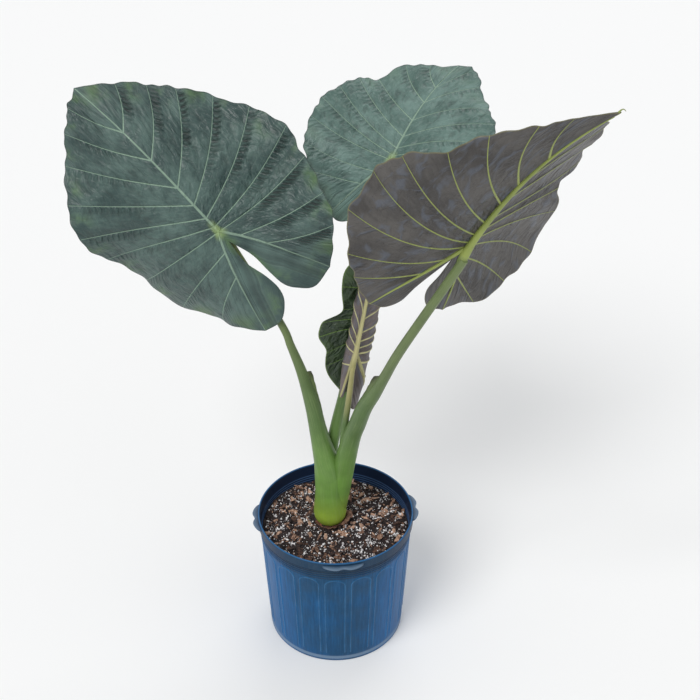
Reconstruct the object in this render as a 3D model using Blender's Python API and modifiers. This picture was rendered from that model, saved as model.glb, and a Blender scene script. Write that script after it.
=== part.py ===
"""Giant taro in a moulded nursery pot: pot, soil, corm, four leaf stalks and four blades.

Units are metres, +Z is up, and the origin is the middle of the pot's flat underside.
Leaf and stalk tables are in millimetres, because they are read off the plant that way.
"""
import math
import random

import bmesh
import bpy
import numpy as np

MM = 0.001
GAP = 0.0003                 # clearance between pieces that touch

# Pot
POT_HEIGHT = 0.240
RIM_RADIUS = 0.132
RIM_DRAFT = 0.0012           # how far the rim band narrows towards its lower edge
RIM_ROUND = 0.0015           # rounding of the rim's outer edge
BODY_TOP_RADIUS = 0.1285     # just under the rim band
BODY_FOOT_RADIUS = 0.1175    # just above the foot ring
BASE_RADIUS = 0.1160
WALL = 0.0022
FLOOR_THICKNESS = 0.004
RIM_BAND = 0.018             # height of the plain band at the rim
FOOT_RING = 0.012
FOOT_STEP = 0.0012           # how far the foot ring stands out at its top
BODY_RINGS = 2               # raised rings under the rim band
RING_PITCH = 0.007
RING_HALF_HEIGHT = 0.002
RING_HEIGHT = 0.0012
INNER_STEP = 0.004           # height over which the inside widens into the rim band
POT_SIDES = 54
PANELS = 18                  # arched panels round the body
PANEL_HALF_ANGLE = math.radians(7.6)
PANEL_FOOT_Z = 0.020
PANEL_SHOULDER_Z = 0.186
PANEL_CROWN = 0.012          # rise of each arch above its shoulders
PANEL_BEAD = 0.0011          # radius of the raised outline
BEAD_SUNK = 0.0003           # how far the outline's middle lies under the wall's surface
ARCH_POINTS = 9
LUGS = 4
LUG_TURN = math.radians(6)   # the lugs are turned a little from the panels
LUG_HALF_ANGLE = math.radians(15)
LUG_REACH = 0.0115
LUG_DIP = 0.40               # depth of the dip between a lug's two lobes
LUG_DIP_WIDTH = 0.22         # its width, as a share of half the lug
LUG_THICKNESS = 0.0032
LUG_ROOT = 0.0020            # how far a lug reaches into the rim band
LUG_Z = 0.2335
LUG_POINTS = 15
DRAIN_HOLES = 8
DRAIN_RADIUS = 0.008
DRAIN_CIRCLE = 0.088
DRAIN_SIDES = 14

# Soil
SOIL_EDGE_Z = 0.2085
SOIL_MOUND = 0.006           # height of the mound round the plant
SOIL_MOUND_RADIUS = 0.11
SOIL_FALL = 0.0035           # how much lower the soil lies at the right and back
SOIL_RELIEF = 0.00096
SOIL_GAP = 0.0009            # clearance from the pot's wall
SOIL_SIDES = 48
SOIL_RINGS = (0.034, 0.052, 0.070, 0.088, 0.106)
PIECE_CIRCLE = 0.108         # loose pieces lie within this radius
BARK_CHIPS = 34
BARK_CLEAR = 0.042           # how far chips stay from the middle of the foot
GRAINS = 26
GRAIN_CLEAR = 0.038
SOIL_SEED = 3

# Corm and the foot of the stalks
FOOT_XY = (-0.009, 0.008)
CORM_RADIUS = 0.0262
CORM_BOTTOM_Z = 0.150
CORM_SHOULDER = 0.022        # height of its rounded lower part
CORM_SIDES = 28
FOOT_Z = 0.214
HUSK_RADIUS = 0.0256         # the dry husk stands on the corm, against the outer stalk
HUSK_HEIGHT = 0.014
HUSK_LEAN = 0.013
HUSK_ANGLES = (math.radians(-75), math.radians(35))
HUSK_THICKNESS = 0.0008
HUSK_COLUMNS = 13
HUSK_ROWS = 4

# Stalks: (x, y, z, radius) in mm up the axis, from the foot to just below the blade.
STALK_SIDES = 4              # bevel resolution of a stalk
STALK_POINTS = 18
STALK_END_RUN = 9.0          # straight length in mm in which a stalk meets its blade's stub
FOOT_RISE = 5.0              # height in mm over which a stalk starts upright, so its foot is level
CUT_BELOW = 0.004            # how far a hollow for an inner stalk starts below the foot
STALKS = {
    "young": [
        (4, 10, 214.3, 5), (7, 8, 280, 5.5), (10, 4, 339, 5.6), (14, -3, 400, 5.6),
        (18, -9, 440, 5.3), (22, -14, 475, 4.9), (26, -16, 512, 4.3)],
    "right": [
        (0, 10, 214.3, 14.5), (8, 9, 277, 16.5), (16, 4, 339, 17.2), (27, -10, 403, 15),
        (36, -22, 438, 13.8), (47, -35, 480, 12.6), (62, -50, 518, 10.5), (77, -63, 558, 8.2),
        (101, -89, 628, 7.3), (133, -115, 714, 7.1)],
    "back": [
        (-13, 17, 214.3, 9), (-11, 24, 290, 10), (-5, 36, 352, 10.2), (4, 50, 395, 9.5),
        (15, 68, 439, 8.4), (33, 104, 525, 6.9), (56, 150, 630, 6.2), (78, 194, 728, 5.8)],
    "left": [
        (-9, 8, 214.3, 25), (-10, 8, 245, 26), (-11, 9, 285, 24.6), (-13, 11, 325, 22),
        (-19, 17, 352, 18.5), (-28, 27, 390, 14.6), (-37, 39, 432, 12.6), (-53, 55, 483, 9),
        (-71, 71, 526, 6.8), (-88, 86, 562, 6.2), (-131, 104, 640, 5.9)],
}

# Blades. A blade is drawn flat, in mm: u runs along the midrib from the stalk's junction towards
# the tip, v across it, and both halves are then folded and curled about the midrib.
# A vein is (where it leaves the midrib, u of its end, v of its end). Both halves leave the midrib
# at the same places. Negative starts lie on the basal rib. sinus lists the inner edge of a basal
# lobe, from the notch out.
BLADE_EDGE = 0.0009          # thickness of the blade between its veins
VEIN_RISE = 0.0016           # what a main vein adds to it on the underside, at the midrib
STUB = 22.0                  # length of stalk that belongs to the blade, in mm
RIB_SUNK = 0.9               # the top of a rib lies this far below the blade's top face, in mm
RIB_TIP = 1.2                # radius of a rib where it ends, in mm
RIB_CURVE = 0.85             # a basal rib's v grows as this power of its length
FOLD_STEPS = 24              # steps in which a half's cross-section is integrated
ANGLE_WIDTH = 180            # width in mm over which a half turns by its curl
BEND_LENGTH = 300            # length in mm over which the midrib turns by its bend
BASE_BLEND = (-110, 20)      # u over which the basal lobes' values change to the junction's
TIP_BLEND = (20, 180)        # u over which the junction's values change to the tip half's
CALM_LENGTH = 70.0           # veins shorter than this, in mm, wave less
WAVES_PER_VEIN = 2.1         # radians of the margin's wave from one vein to the next
HALF_SHIFT = 1.7             # radians by which the second half's wave is shifted
BLADES = {
    "left": dict(
        finish="blade", junction=(-179, 100, 718), heading=(170, 44, -62),
        length=312, rib=5.8, rib_side=4.0,
        wander=(-24, 14), bend=(-23, 6), fold=((-14, -8, -8), (9, -16, -16)),
        curl=((-55, -55, -3), (28, 28, -14)), roll=((0, 0, 0), (0, 0, 0)), stalk_turn=(-0.60, -0.10, 0.79),
        veins=(
            [(208, 298, 30), (148, 275, 63), (91, 246, 103), (55, 200, 144), (28, 151, 172), (10, 99, 185),
             (0, 21, 186), (-30, -54, 178), (-70, -112, 141)],
            [(208, 275, -48), (148, 243, -84), (91, 206, -112), (55, 154, -145), (28, 97, -171),
             (10, 35, -190), (0, -16, -179), (-28, -71, -161), (-66, -117, -140)]),
        rib_end=((-166, 76), (-162, -82)),
        sinus=(
            [(-22, 0), (-62, 7), (-100, 1), (-130, 1), (-152, 12), (-170, 40)],
            [(-22, 0), (-62, -9), (-100, -8), (-130, -9), (-150, -20), (-168, -42)]),
        wave=(5.0, 2.3, 11)),
    "back": dict(
        finish="blade", junction=(90, 220, 785), heading=(63.5, 30.5, 2),
        length=242, rib=5.3, rib_side=3.4,
        wander=(-6, -34), bend=(-23, 0), fold=((30, 4, 4), (5, 17, 17)),
        curl=((27, 27, 9), (-18, -18, -31)), roll=((0, 0, 0), (0, 0, 0)), stalk_turn=(0.30, 0.48, 0.82),
        veins=(
            [(170, 220, 39), (130, 199, 71), (86, 157, 96), (49, 138, 122), (24, 100, 138), (9, 68, 152),
             (0, 22, 150), (-30, -46, 138), (-62, -91, 109)],
            [(170, 220, -44), (130, 178, -78), (86, 132, -114), (49, 93, -142), (24, 52, -160),
             (9, 10, -168), (0, -25, -161), (-30, -65, -137), (-60, -107, -104)]),
        rib_end=((-138, 52), (-138, -52)),
        sinus=(
            [(-20, 0), (-60, 6), (-100, 5), (-128, 16), (-142, 34)],
            [(-20, 0), (-60, -6), (-100, -6), (-128, -17), (-142, -34)]),
        wave=(4.5, 2.0, 23)),
    "right": dict(
        finish="purple_blade", junction=(179, -130, 819), heading=(-21, 54, -38),
        length=270, rib=6.6, rib_side=4.4,
        wander=(-53, 118), bend=(0, 0), fold=((0, 15, 20), (-4, -8, -8)),
        curl=((-6, -6, 4), (67, 67, 67)), roll=((0, 0, 0), (0, 0, 0)), stalk_turn=(0.34, -0.07, 0.93),
        veins=(
            [(178, 242, 50), (125, 213, 103), (88, 169, 148), (50, 122, 190), (25, 89, 153), (9, 47, 181),
             (0, -31, 187), (-26, -73, 149), (-64, -116, 117)],
            [(178, 245, -48), (125, 222, -74), (88, 179, -102), (50, 134, -126), (25, 93, -164),
             (9, 39, -182), (0, -30, -175), (-28, -85, -135), (-62, -119, -105)]),
        rib_end=((-142, 76), (-146, -62)),
        sinus=(
            [(-30, 0), (-66, 8), (-98, 10), (-124, 26), (-142, 50)],
            [(-30, 0), (-66, -10), (-98, -16), (-128, -18), (-146, -36)]),
        wave=(4.5, 1.8, 37)),
    "young": dict(
        finish="purple_blade", junction=(33, -6, 563), heading=(0, 80, -90),
        length=205, rib=3.9, rib_side=2.4,
        wander=(0, 0), bend=(6, 34), fold=((12, 12, 12), (14, 14, 14)), curl=((0, 0, 0), (0, 0, 0)),
        roll=((178, 12, 58), (232, 6, 52)), stalk_turn=(0.17, 0.20, 0.965),
        veins=(
            [(130, 178, 46), (92, 145, 91), (63, 101, 104), (38, 60, 97), (22, 31, 120), (10, 8, 124),
             (0, -24, 108), (-16, -56, 102), (-50, -102, 78)],
            [(130, 176, -20), (92, 148, -31), (63, 120, -38), (38, 92, -43), (22, 64, -45),
             (10, 40, -45), (0, 8, -45), (-22, -34, -24)]),
        rib_end=((-118, 48), (-94, -8)),
        sinus=(
            [(-16, 0), (-60, 3), (-100, 6), (-124, 20)],
            [(-16, 0), (-44, -2), (-72, -2.5), (-91, -3.5)]),
        wave=(3.2, 0.8, 51)),
}
MIDRIB_SHARE = 0.96          # share of the blade's length that the raised midrib runs
MIDRIB_POINTS = 10
BASAL_RIB_POINTS = 7
SEAM_REACH = 2e-5            # points of the two halves closer than this become one, in metres
ROWS_PER_VEIN = 2            # grid rows from one vein to the next
OUTER_COLUMNS = (0.0, 0.22, 0.5, 0.78, 1.0)
INNER_COLUMNS = (0.0, 0.5, 1.0)

# Material values: colour, roughness and metallic
FINISHES = {
    "pot": ((0.020, 0.110, 0.260), 0.55, 0.0),
    "soil": ((0.035, 0.022, 0.015), 0.95, 0.0),
    "corm": ((0.210, 0.090, 0.045), 0.80, 0.0),
    "stalk": ((0.160, 0.290, 0.050), 0.45, 0.0),
    "blade": ((0.045, 0.115, 0.075), 0.50, 0.0),
    "purple_blade": ((0.080, 0.055, 0.050), 0.50, 0.0),
    "husk": ((0.230, 0.110, 0.060), 0.85, 0.0),
}


# Small helpers

def clear_scene():
    for item in list(bpy.data.objects):
        bpy.data.objects.remove(item, do_unlink=True)


def new_collection(name):
    collection = bpy.data.collections.new(name)
    bpy.context.scene.collection.children.link(collection)
    return collection


def finish_material(name):
    colour, roughness, metallic = FINISHES[name]
    material = bpy.data.materials.get(name) or bpy.data.materials.new(name)
    material.use_nodes = True
    shader = material.node_tree.nodes["Principled BSDF"]
    shader.inputs["Base Color"].default_value = (*colour, 1.0)
    shader.inputs["Roughness"].default_value = roughness
    shader.inputs["Metallic"].default_value = metallic
    return material


def add_object(name, data, collection, finish=None):
    item = bpy.data.objects.new(name, data)
    collection.objects.link(item)
    if finish:
        data.materials.clear()
        data.materials.append(finish_material(finish))
    return item


def move_to(item, collection):
    """Takes a new object out of the scene's own collection and puts it in another."""
    for owner in list(item.users_collection):
        owner.objects.unlink(item)
    collection.objects.link(item)


def mesh_from(points, faces, name):
    mesh = bpy.data.meshes.new(name)
    mesh.from_pydata([tuple(map(float, p)) for p in points], [], [tuple(map(int, f)) for f in faces])
    mesh.update()
    return mesh


def smooth_step(low, high, value):
    """0 below low, 1 above high, and a smooth rise between them."""
    t = np.clip((value - low) / (high - low), 0, 1)
    return t * t * (3 - 2 * t)


def evaluated_mesh(item, merge=0.0):
    """The object's mesh in world space, with its modifiers applied."""
    bpy.context.view_layer.update()
    depsgraph = bpy.context.evaluated_depsgraph_get()
    mesh = bpy.data.meshes.new_from_object(item.evaluated_get(depsgraph))
    work = bmesh.new()
    work.from_mesh(mesh)
    if merge:
        bmesh.ops.remove_doubles(work, verts=work.verts, dist=merge)
    bmesh.ops.transform(work, matrix=item.matrix_world, verts=work.verts)
    work.to_mesh(mesh)
    work.free()
    return mesh


def made_mesh(item, name, collection, finish=None):
    """Replaces a curve, or an object with modifiers, by a plain mesh object."""
    mesh = evaluated_mesh(item, merge=1e-6)
    bpy.data.objects.remove(item, do_unlink=True)
    mesh.name = name
    return add_object(name, mesh, collection, finish)


def as_cutter(item):
    item.hide_render = True
    item.display_type = "WIRE"
    return item


def boolean(item, operation, other, solver="EXACT"):
    """Applies one Boolean with an object or a collection, and removes what was used."""
    modifier = item.modifiers.new("Boolean", "BOOLEAN")
    modifier.operation = operation
    modifier.solver = solver
    if isinstance(other, bpy.types.Collection):
        modifier.operand_type = "COLLECTION"
        modifier.collection = other
        used = list(other.objects)
    else:
        modifier.object = other
        used = [other]
    mesh = evaluated_mesh(item)
    item.modifiers.remove(modifier)
    old = item.data
    materials = list(old.materials)
    item.data = mesh
    item.matrix_world.identity()
    if materials:
        mesh.materials.clear()
        mesh.materials.append(materials[0])
    for done in used:
        bpy.data.objects.remove(done, do_unlink=True)


def shade(item, angle=40):
    item.data.shade_smooth()
    item.data.set_sharp_from_angle(angle=math.radians(angle))


def curve_through(points, at):
    """Catmull-Rom curve through points, read at fractional indices."""
    points = np.asarray(points, float)
    at = np.asarray(at, float)
    padded = np.vstack([2 * points[0] - points[1], points, 2 * points[-1] - points[-2]])
    index = np.clip(at.astype(int), 0, len(points) - 2)
    t = (at - index)[:, None]
    a, b, c, d = (padded[index + i] for i in range(4))
    return 0.5 * (2 * b + (c - a) * t + (2 * a - 5 * b + 4 * c - d) * t ** 2
                  + (3 * b - a - 3 * c + d) * t ** 3)


def smooth_path(points, count):
    """Evenly spaced points on a smooth curve through the given points."""
    fine = curve_through(points, np.linspace(0, len(points) - 1, 24 * (len(points) - 1) + 1))
    travelled = np.r_[0, np.cumsum(np.linalg.norm(np.diff(fine[:, :3], axis=0), axis=1))]
    wanted = np.linspace(0, travelled[-1], count)
    return np.column_stack([np.interp(wanted, travelled, fine[:, k]) for k in range(fine.shape[1])])


def tube(name, path, collection, resolution=STALK_SIDES):
    """A round tube along path, whose rows are x, y, z and radius in metres."""
    curve = bpy.data.curves.new(name, "CURVE")
    curve.dimensions = "3D"
    curve.bevel_depth = 1.0
    curve.bevel_resolution = resolution
    curve.use_fill_caps = True
    spline = curve.splines.new("POLY")
    spline.points.add(len(path) - 1)
    for point, row in zip(spline.points, path):
        point.co = (row[0], row[1], row[2], 1.0)
        point.radius = row[3]
    return made_mesh(add_object(name, curve, collection), name, collection)


# Pot

def body_radius(z):
    """Outer radius of the tapering body at height z."""
    share = (z - FOOT_RING) / (POT_HEIGHT - RIM_BAND - FOOT_RING)
    return BODY_FOOT_RADIUS + (BODY_TOP_RADIUS - BODY_FOOT_RADIUS) * share


def pot_profile():
    """The pot's section, down the outer side, in across the base and up the inside."""
    band = POT_HEIGHT - RIM_BAND
    outer = [(RIM_RADIUS - RIM_ROUND, POT_HEIGHT), (RIM_RADIUS, POT_HEIGHT - RIM_ROUND),
             (RIM_RADIUS, POT_HEIGHT - 0.004), (RIM_RADIUS - RIM_DRAFT, band)]
    for ring in range(BODY_RINGS):
        z = band - 0.005 - RING_PITCH * ring
        outer.append((body_radius(z + RING_HALF_HEIGHT), z + RING_HALF_HEIGHT))
        outer.append((body_radius(z) + RING_HEIGHT, z))
        outer.append((body_radius(z - RING_HALF_HEIGHT), z - RING_HALF_HEIGHT))
    outer += [(body_radius(FOOT_RING), FOOT_RING), (BASE_RADIUS + FOOT_STEP, FOOT_RING - 0.002),
              (BASE_RADIUS, 0.0)]
    lip = RIM_RADIUS - WALL
    inner = [(BODY_FOOT_RADIUS - WALL, FLOOR_THICKNESS), (body_radius(band) - WALL, band - INNER_STEP),
             (lip - 0.002, band + INNER_STEP), (lip - RIM_ROUND, POT_HEIGHT - 0.0010),
             (lip - 0.0006, POT_HEIGHT)]
    return outer, inner


def inner_radius(z):
    """Inner radius of the pot's wall below the rim band."""
    low = BODY_FOOT_RADIUS - WALL
    high = body_radius(POT_HEIGHT - RIM_BAND) - WALL
    share = (z - FLOOR_THICKNESS) / (POT_HEIGHT - RIM_BAND - INNER_STEP - FLOOR_THICKNESS)
    return low + (high - low) * share


def pot_shell(collection):
    outer, inner = pot_profile()
    section = outer + [(0.0, 0.0), (0.0, FLOOR_THICKNESS)] + inner
    points = [(r, 0.0, z) for r, z in section]
    edges = [(i, (i + 1) % len(points)) for i in range(len(points))]
    edges.remove((len(outer), len(outer) + 1))
    mesh = bpy.data.meshes.new("pot")
    mesh.from_pydata(points, edges, [])
    item = add_object("pot", mesh, collection, "pot")
    screw = item.modifiers.new("Turned wall", "SCREW")
    screw.steps = POT_SIDES
    screw.render_steps = POT_SIDES
    screw.use_merge_vertices = True
    screw.merge_threshold = 0.00001
    return item


def panel_outline(centre_angle):
    """Points of one arched outline on the body: up one side, over the arch and down."""
    arch = [(-math.cos(turn), PANEL_SHOULDER_Z + PANEL_CROWN * math.sin(turn))
            for turn in np.linspace(0, math.pi, ARCH_POINTS)]
    path = []
    for across, z in [(-1.0, PANEL_FOOT_Z), *arch, (1.0, PANEL_FOOT_Z)]:
        angle = centre_angle + across * PANEL_HALF_ANGLE
        radius = body_radius(z) - BEAD_SUNK
        path.append((radius * math.cos(angle), radius * math.sin(angle), z, PANEL_BEAD))
    return path


def lug(centre_angle, collection):
    """A flat tab under the rim with two lobes and a dip between them."""
    steps = np.linspace(-1, 1, LUG_POINTS)
    dip = 1 - LUG_DIP * np.exp(-(steps / LUG_DIP_WIDTH) ** 2)
    reach = RIM_RADIUS - RIM_DRAFT + LUG_REACH * np.sqrt(np.clip(1 - steps ** 2, 0, 1)) * dip
    angles = centre_angle + steps * LUG_HALF_ANGLE
    root = RIM_RADIUS - LUG_ROOT
    outer = [(r * math.cos(a), r * math.sin(a)) for r, a in zip(reach, angles)]
    inner = [(root * math.cos(a), root * math.sin(a)) for a in angles[::-2]]
    curve = bpy.data.curves.new("lug", "CURVE")
    curve.dimensions = "2D"
    curve.fill_mode = "BOTH"
    curve.extrude = LUG_THICKNESS / 2
    outline = outer + inner
    spline = curve.splines.new("POLY")
    spline.points.add(len(outline) - 1)
    for point, (x, y) in zip(spline.points, outline):
        point.co = (x, y, 0.0, 1.0)
    spline.use_cyclic_u = True
    item = add_object("lug", curve, collection)
    item.location.z = LUG_Z
    return made_mesh(item, "lug", collection)


def build_pot(parts, cutters):
    shell = made_mesh(pot_shell(parts), "pot", parts, "pot")
    extras = new_collection("pot extras")
    for k in range(PANELS):
        centre = -math.pi / 2 + k * 2 * math.pi / PANELS
        tube("panel bead", panel_outline(centre), extras, resolution=0)
    for k in range(LUGS):
        lug(-math.pi / 2 + LUG_TURN + k * 2 * math.pi / LUGS, extras)
    boolean(shell, "UNION", extras)
    for k in range(DRAIN_HOLES):
        angle = (k + 0.5) * 2 * math.pi / DRAIN_HOLES
        bpy.ops.mesh.primitive_cylinder_add(
            vertices=DRAIN_SIDES, radius=DRAIN_RADIUS, depth=4 * FLOOR_THICKNESS,
            location=(DRAIN_CIRCLE * math.cos(angle), DRAIN_CIRCLE * math.sin(angle), 0.0))
        move_to(as_cutter(bpy.context.object), cutters)
    boolean(shell, "DIFFERENCE", cutters)
    shade(shell, 35)


# Soil, corm and husk

def soil_height(x, y):
    """Height of the soil: a low mound round the plant, and lumps from a few crossed waves."""
    distance = np.hypot(x - FOOT_XY[0], y - FOOT_XY[1])
    mound = SOIL_MOUND * np.clip(1 - distance / SOIL_MOUND_RADIUS, 0, 1)
    slope = -SOIL_FALL * np.clip((x + y) / 0.16, 0, 1)
    lumps = (np.sin(190 * x + 1.3) * np.sin(170 * y + 0.4) + 0.7 * np.sin(330 * x - 210 * y)
             + 0.5 * np.sin(120 * x + 410 * y + 2.0))
    return SOIL_EDGE_Z + mound + slope + SOIL_RELIEF * lumps


def soil_block(parts):
    points = [(0.0, 0.0, float(soil_height(0.0, 0.0)))]
    faces = []
    turns = np.arange(SOIL_SIDES) * 2 * math.pi / SOIL_SIDES
    for radius in (*SOIL_RINGS, inner_radius(SOIL_EDGE_Z) - SOIL_GAP):
        x, y = radius * np.cos(turns), radius * np.sin(turns)
        points += list(zip(x, y, soil_height(x, y)))
    low_z = FLOOR_THICKNESS + GAP
    low = inner_radius(low_z) - SOIL_GAP
    points += list(zip(low * np.cos(turns), low * np.sin(turns), [low_z] * SOIL_SIDES))
    rings = len(SOIL_RINGS) + 2
    for k in range(SOIL_SIDES):
        after = (k + 1) % SOIL_SIDES
        faces.append((0, 1 + k, 1 + after))
        for ring in range(rings - 1):
            a = 1 + ring * SOIL_SIDES
            faces.append((a + k, a + SOIL_SIDES + k, a + SOIL_SIDES + after, a + after))
    bottom = 1 + (rings - 1) * SOIL_SIDES
    faces.append(tuple(bottom + k for k in reversed(range(SOIL_SIDES))))
    return add_object("soil", mesh_from(points, faces, "soil"), parts, "soil")


def scatter(rng, clear):
    """A place on the soil that keeps clear of the middle of the stalks' foot."""
    while True:
        angle = rng.uniform(0, 2 * math.pi)
        radius = math.sqrt(rng.uniform(0, 1)) * PIECE_CIRCLE
        x, y = radius * math.cos(angle), radius * math.sin(angle)
        if math.hypot(x - FOOT_XY[0], y - FOOT_XY[1]) > clear:
            return x, y


def bark_chip(rng, collection):
    x, y = scatter(rng, BARK_CLEAR)
    bpy.ops.mesh.primitive_cube_add(size=1.0)
    chip = bpy.context.object
    chip.dimensions = (rng.uniform(0.009, 0.022), rng.uniform(0.004, 0.009), rng.uniform(0.003, 0.005))
    chip.rotation_euler = (rng.uniform(-0.35, 0.35), rng.uniform(-0.35, 0.35), rng.uniform(0, math.pi))
    chip.location = (x, y, float(soil_height(x, y)) + 0.0006)
    move_to(chip, collection)
    made_mesh(chip, "chip", collection)


def soil_grain(rng, collection):
    x, y = scatter(rng, GRAIN_CLEAR)
    bpy.ops.mesh.primitive_ico_sphere_add(subdivisions=1, radius=rng.uniform(0.0018, 0.0030))
    grain = bpy.context.object
    grain.location = (x, y, float(soil_height(x, y)) + 0.0004)
    move_to(grain, collection)
    made_mesh(grain, "grain", collection)


def turned(name, profile, centre, collection, finish=None):
    """A turned solid: profile lists (radius, z) down the outer side, both ends on the axis."""
    mesh = bpy.data.meshes.new(name)
    edges = [(i, i + 1) for i in range(len(profile) - 1)]
    mesh.from_pydata([(r, 0.0, z) for r, z in profile], edges, [])
    item = add_object(name, mesh, collection)
    item.location = (centre[0], centre[1], 0.0)
    screw = item.modifiers.new("Turned", "SCREW")
    screw.steps = CORM_SIDES
    screw.render_steps = CORM_SIDES
    screw.use_merge_vertices = True
    screw.merge_threshold = 0.00001
    return made_mesh(item, name, collection, finish)


def corm_profile(grow=0.0, top=FOOT_Z):
    """A rounded body, blunt below and flat on top, grown outwards by grow."""
    low = CORM_BOTTOM_Z
    radius = CORM_RADIUS + grow
    return [(0.0, top), (radius, top), (radius, low + CORM_SHOULDER), (radius * 0.86, low + 0.008),
            (radius * 0.55, low - grow), (0.0, low - grow)]


def build_soil(parts, cutters):
    soil = soil_block(parts)
    rng = random.Random(SOIL_SEED)
    pieces = new_collection("soil pieces")
    for _ in range(BARK_CHIPS):
        bark_chip(rng, pieces)
    for _ in range(GRAINS):
        soil_grain(rng, pieces)
    boolean(soil, "UNION", pieces)
    hole = turned("corm hole", corm_profile(2 * GAP, POT_HEIGHT), FOOT_XY, cutters)
    boolean(soil, "DIFFERENCE", as_cutter(hole))
    shade(soil, 30)
    corm = turned("corm", corm_profile(), FOOT_XY, parts, "corm")
    shade(corm)


def build_husk(parts):
    """A dry papery scale round the right of the foot. It leans out by the cube of its height,
    and its top is highest in the middle and torn lower at both ends."""
    points = []
    for row in range(HUSK_ROWS):
        up = row / (HUSK_ROWS - 1)
        for column in range(HUSK_COLUMNS):
            share = column / (HUSK_COLUMNS - 1)
            angle = HUSK_ANGLES[0] + (HUSK_ANGLES[1] - HUSK_ANGLES[0]) * share
            torn = (0.35 + 0.65 * math.sin(math.pi * share)) * (1 + 0.2 * math.sin(9 * share))
            radius = HUSK_RADIUS + HUSK_LEAN * up ** 3 * math.sin(math.pi * share)
            points.append((FOOT_XY[0] + radius * math.cos(angle), FOOT_XY[1] + radius * math.sin(angle),
                           FOOT_Z + GAP + HUSK_HEIGHT * torn * up))
    faces = []
    for row in range(HUSK_ROWS - 1):
        for column in range(HUSK_COLUMNS - 1):
            a = row * HUSK_COLUMNS + column
            faces.append((a, a + 1, a + HUSK_COLUMNS + 1))
            faces.append((a, a + HUSK_COLUMNS + 1, a + HUSK_COLUMNS))
    item = add_object("husk", mesh_from(points, faces, "husk"), parts, "husk")
    solid = item.modifiers.new("Husk thickness", "SOLIDIFY")
    solid.thickness = HUSK_THICKNESS
    solid.offset = 1.0
    shade(made_mesh(item, "husk", parts, "husk"))


# Stalks

def stalk_path(name):
    """Control points in metres, ended by the straight run that meets the blade's own stub."""
    points = np.array(STALKS[name], float)
    blade = Blade(name)
    end = blade.stub_start - blade.stalk_turn * GAP / MM
    before = end - blade.stalk_turn * STALK_END_RUN
    radius = blade.rib
    points = np.vstack([points, [*before, radius], [*end, radius]])
    path = smooth_path(points[:-1], STALK_POINTS)
    upright = path[0] + (0.0, 0.0, FOOT_RISE, 0.0)
    return np.vstack([path[0], upright, path[1:], points[-1]]) * MM


def stalk_solid(name, collection, grow=0.0):
    """One stalk from foot to blade. A cutter is grown outwards, and starts below the foot."""
    path = stalk_path(name)
    path[:, 3] += grow
    if grow:
        path[0, 2] -= CUT_BELOW
    return tube(f"stalk_{name}", path, collection)


def build_stalks(parts, cutters):
    """The sheaths are nested: each older stalk wraps those inside it, and is hollowed for them."""
    inside = []
    for name in ("young", "right", "back", "left"):
        stalk = stalk_solid(name, parts)
        stalk.data.materials.clear()
        stalk.data.materials.append(finish_material("stalk"))
        for other in inside:
            cutter = as_cutter(stalk_solid(other, cutters, grow=1.4 * GAP))
            boolean(stalk, "DIFFERENCE", cutter)
        inside.append(name)
        shade(stalk)


# Blades

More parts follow.
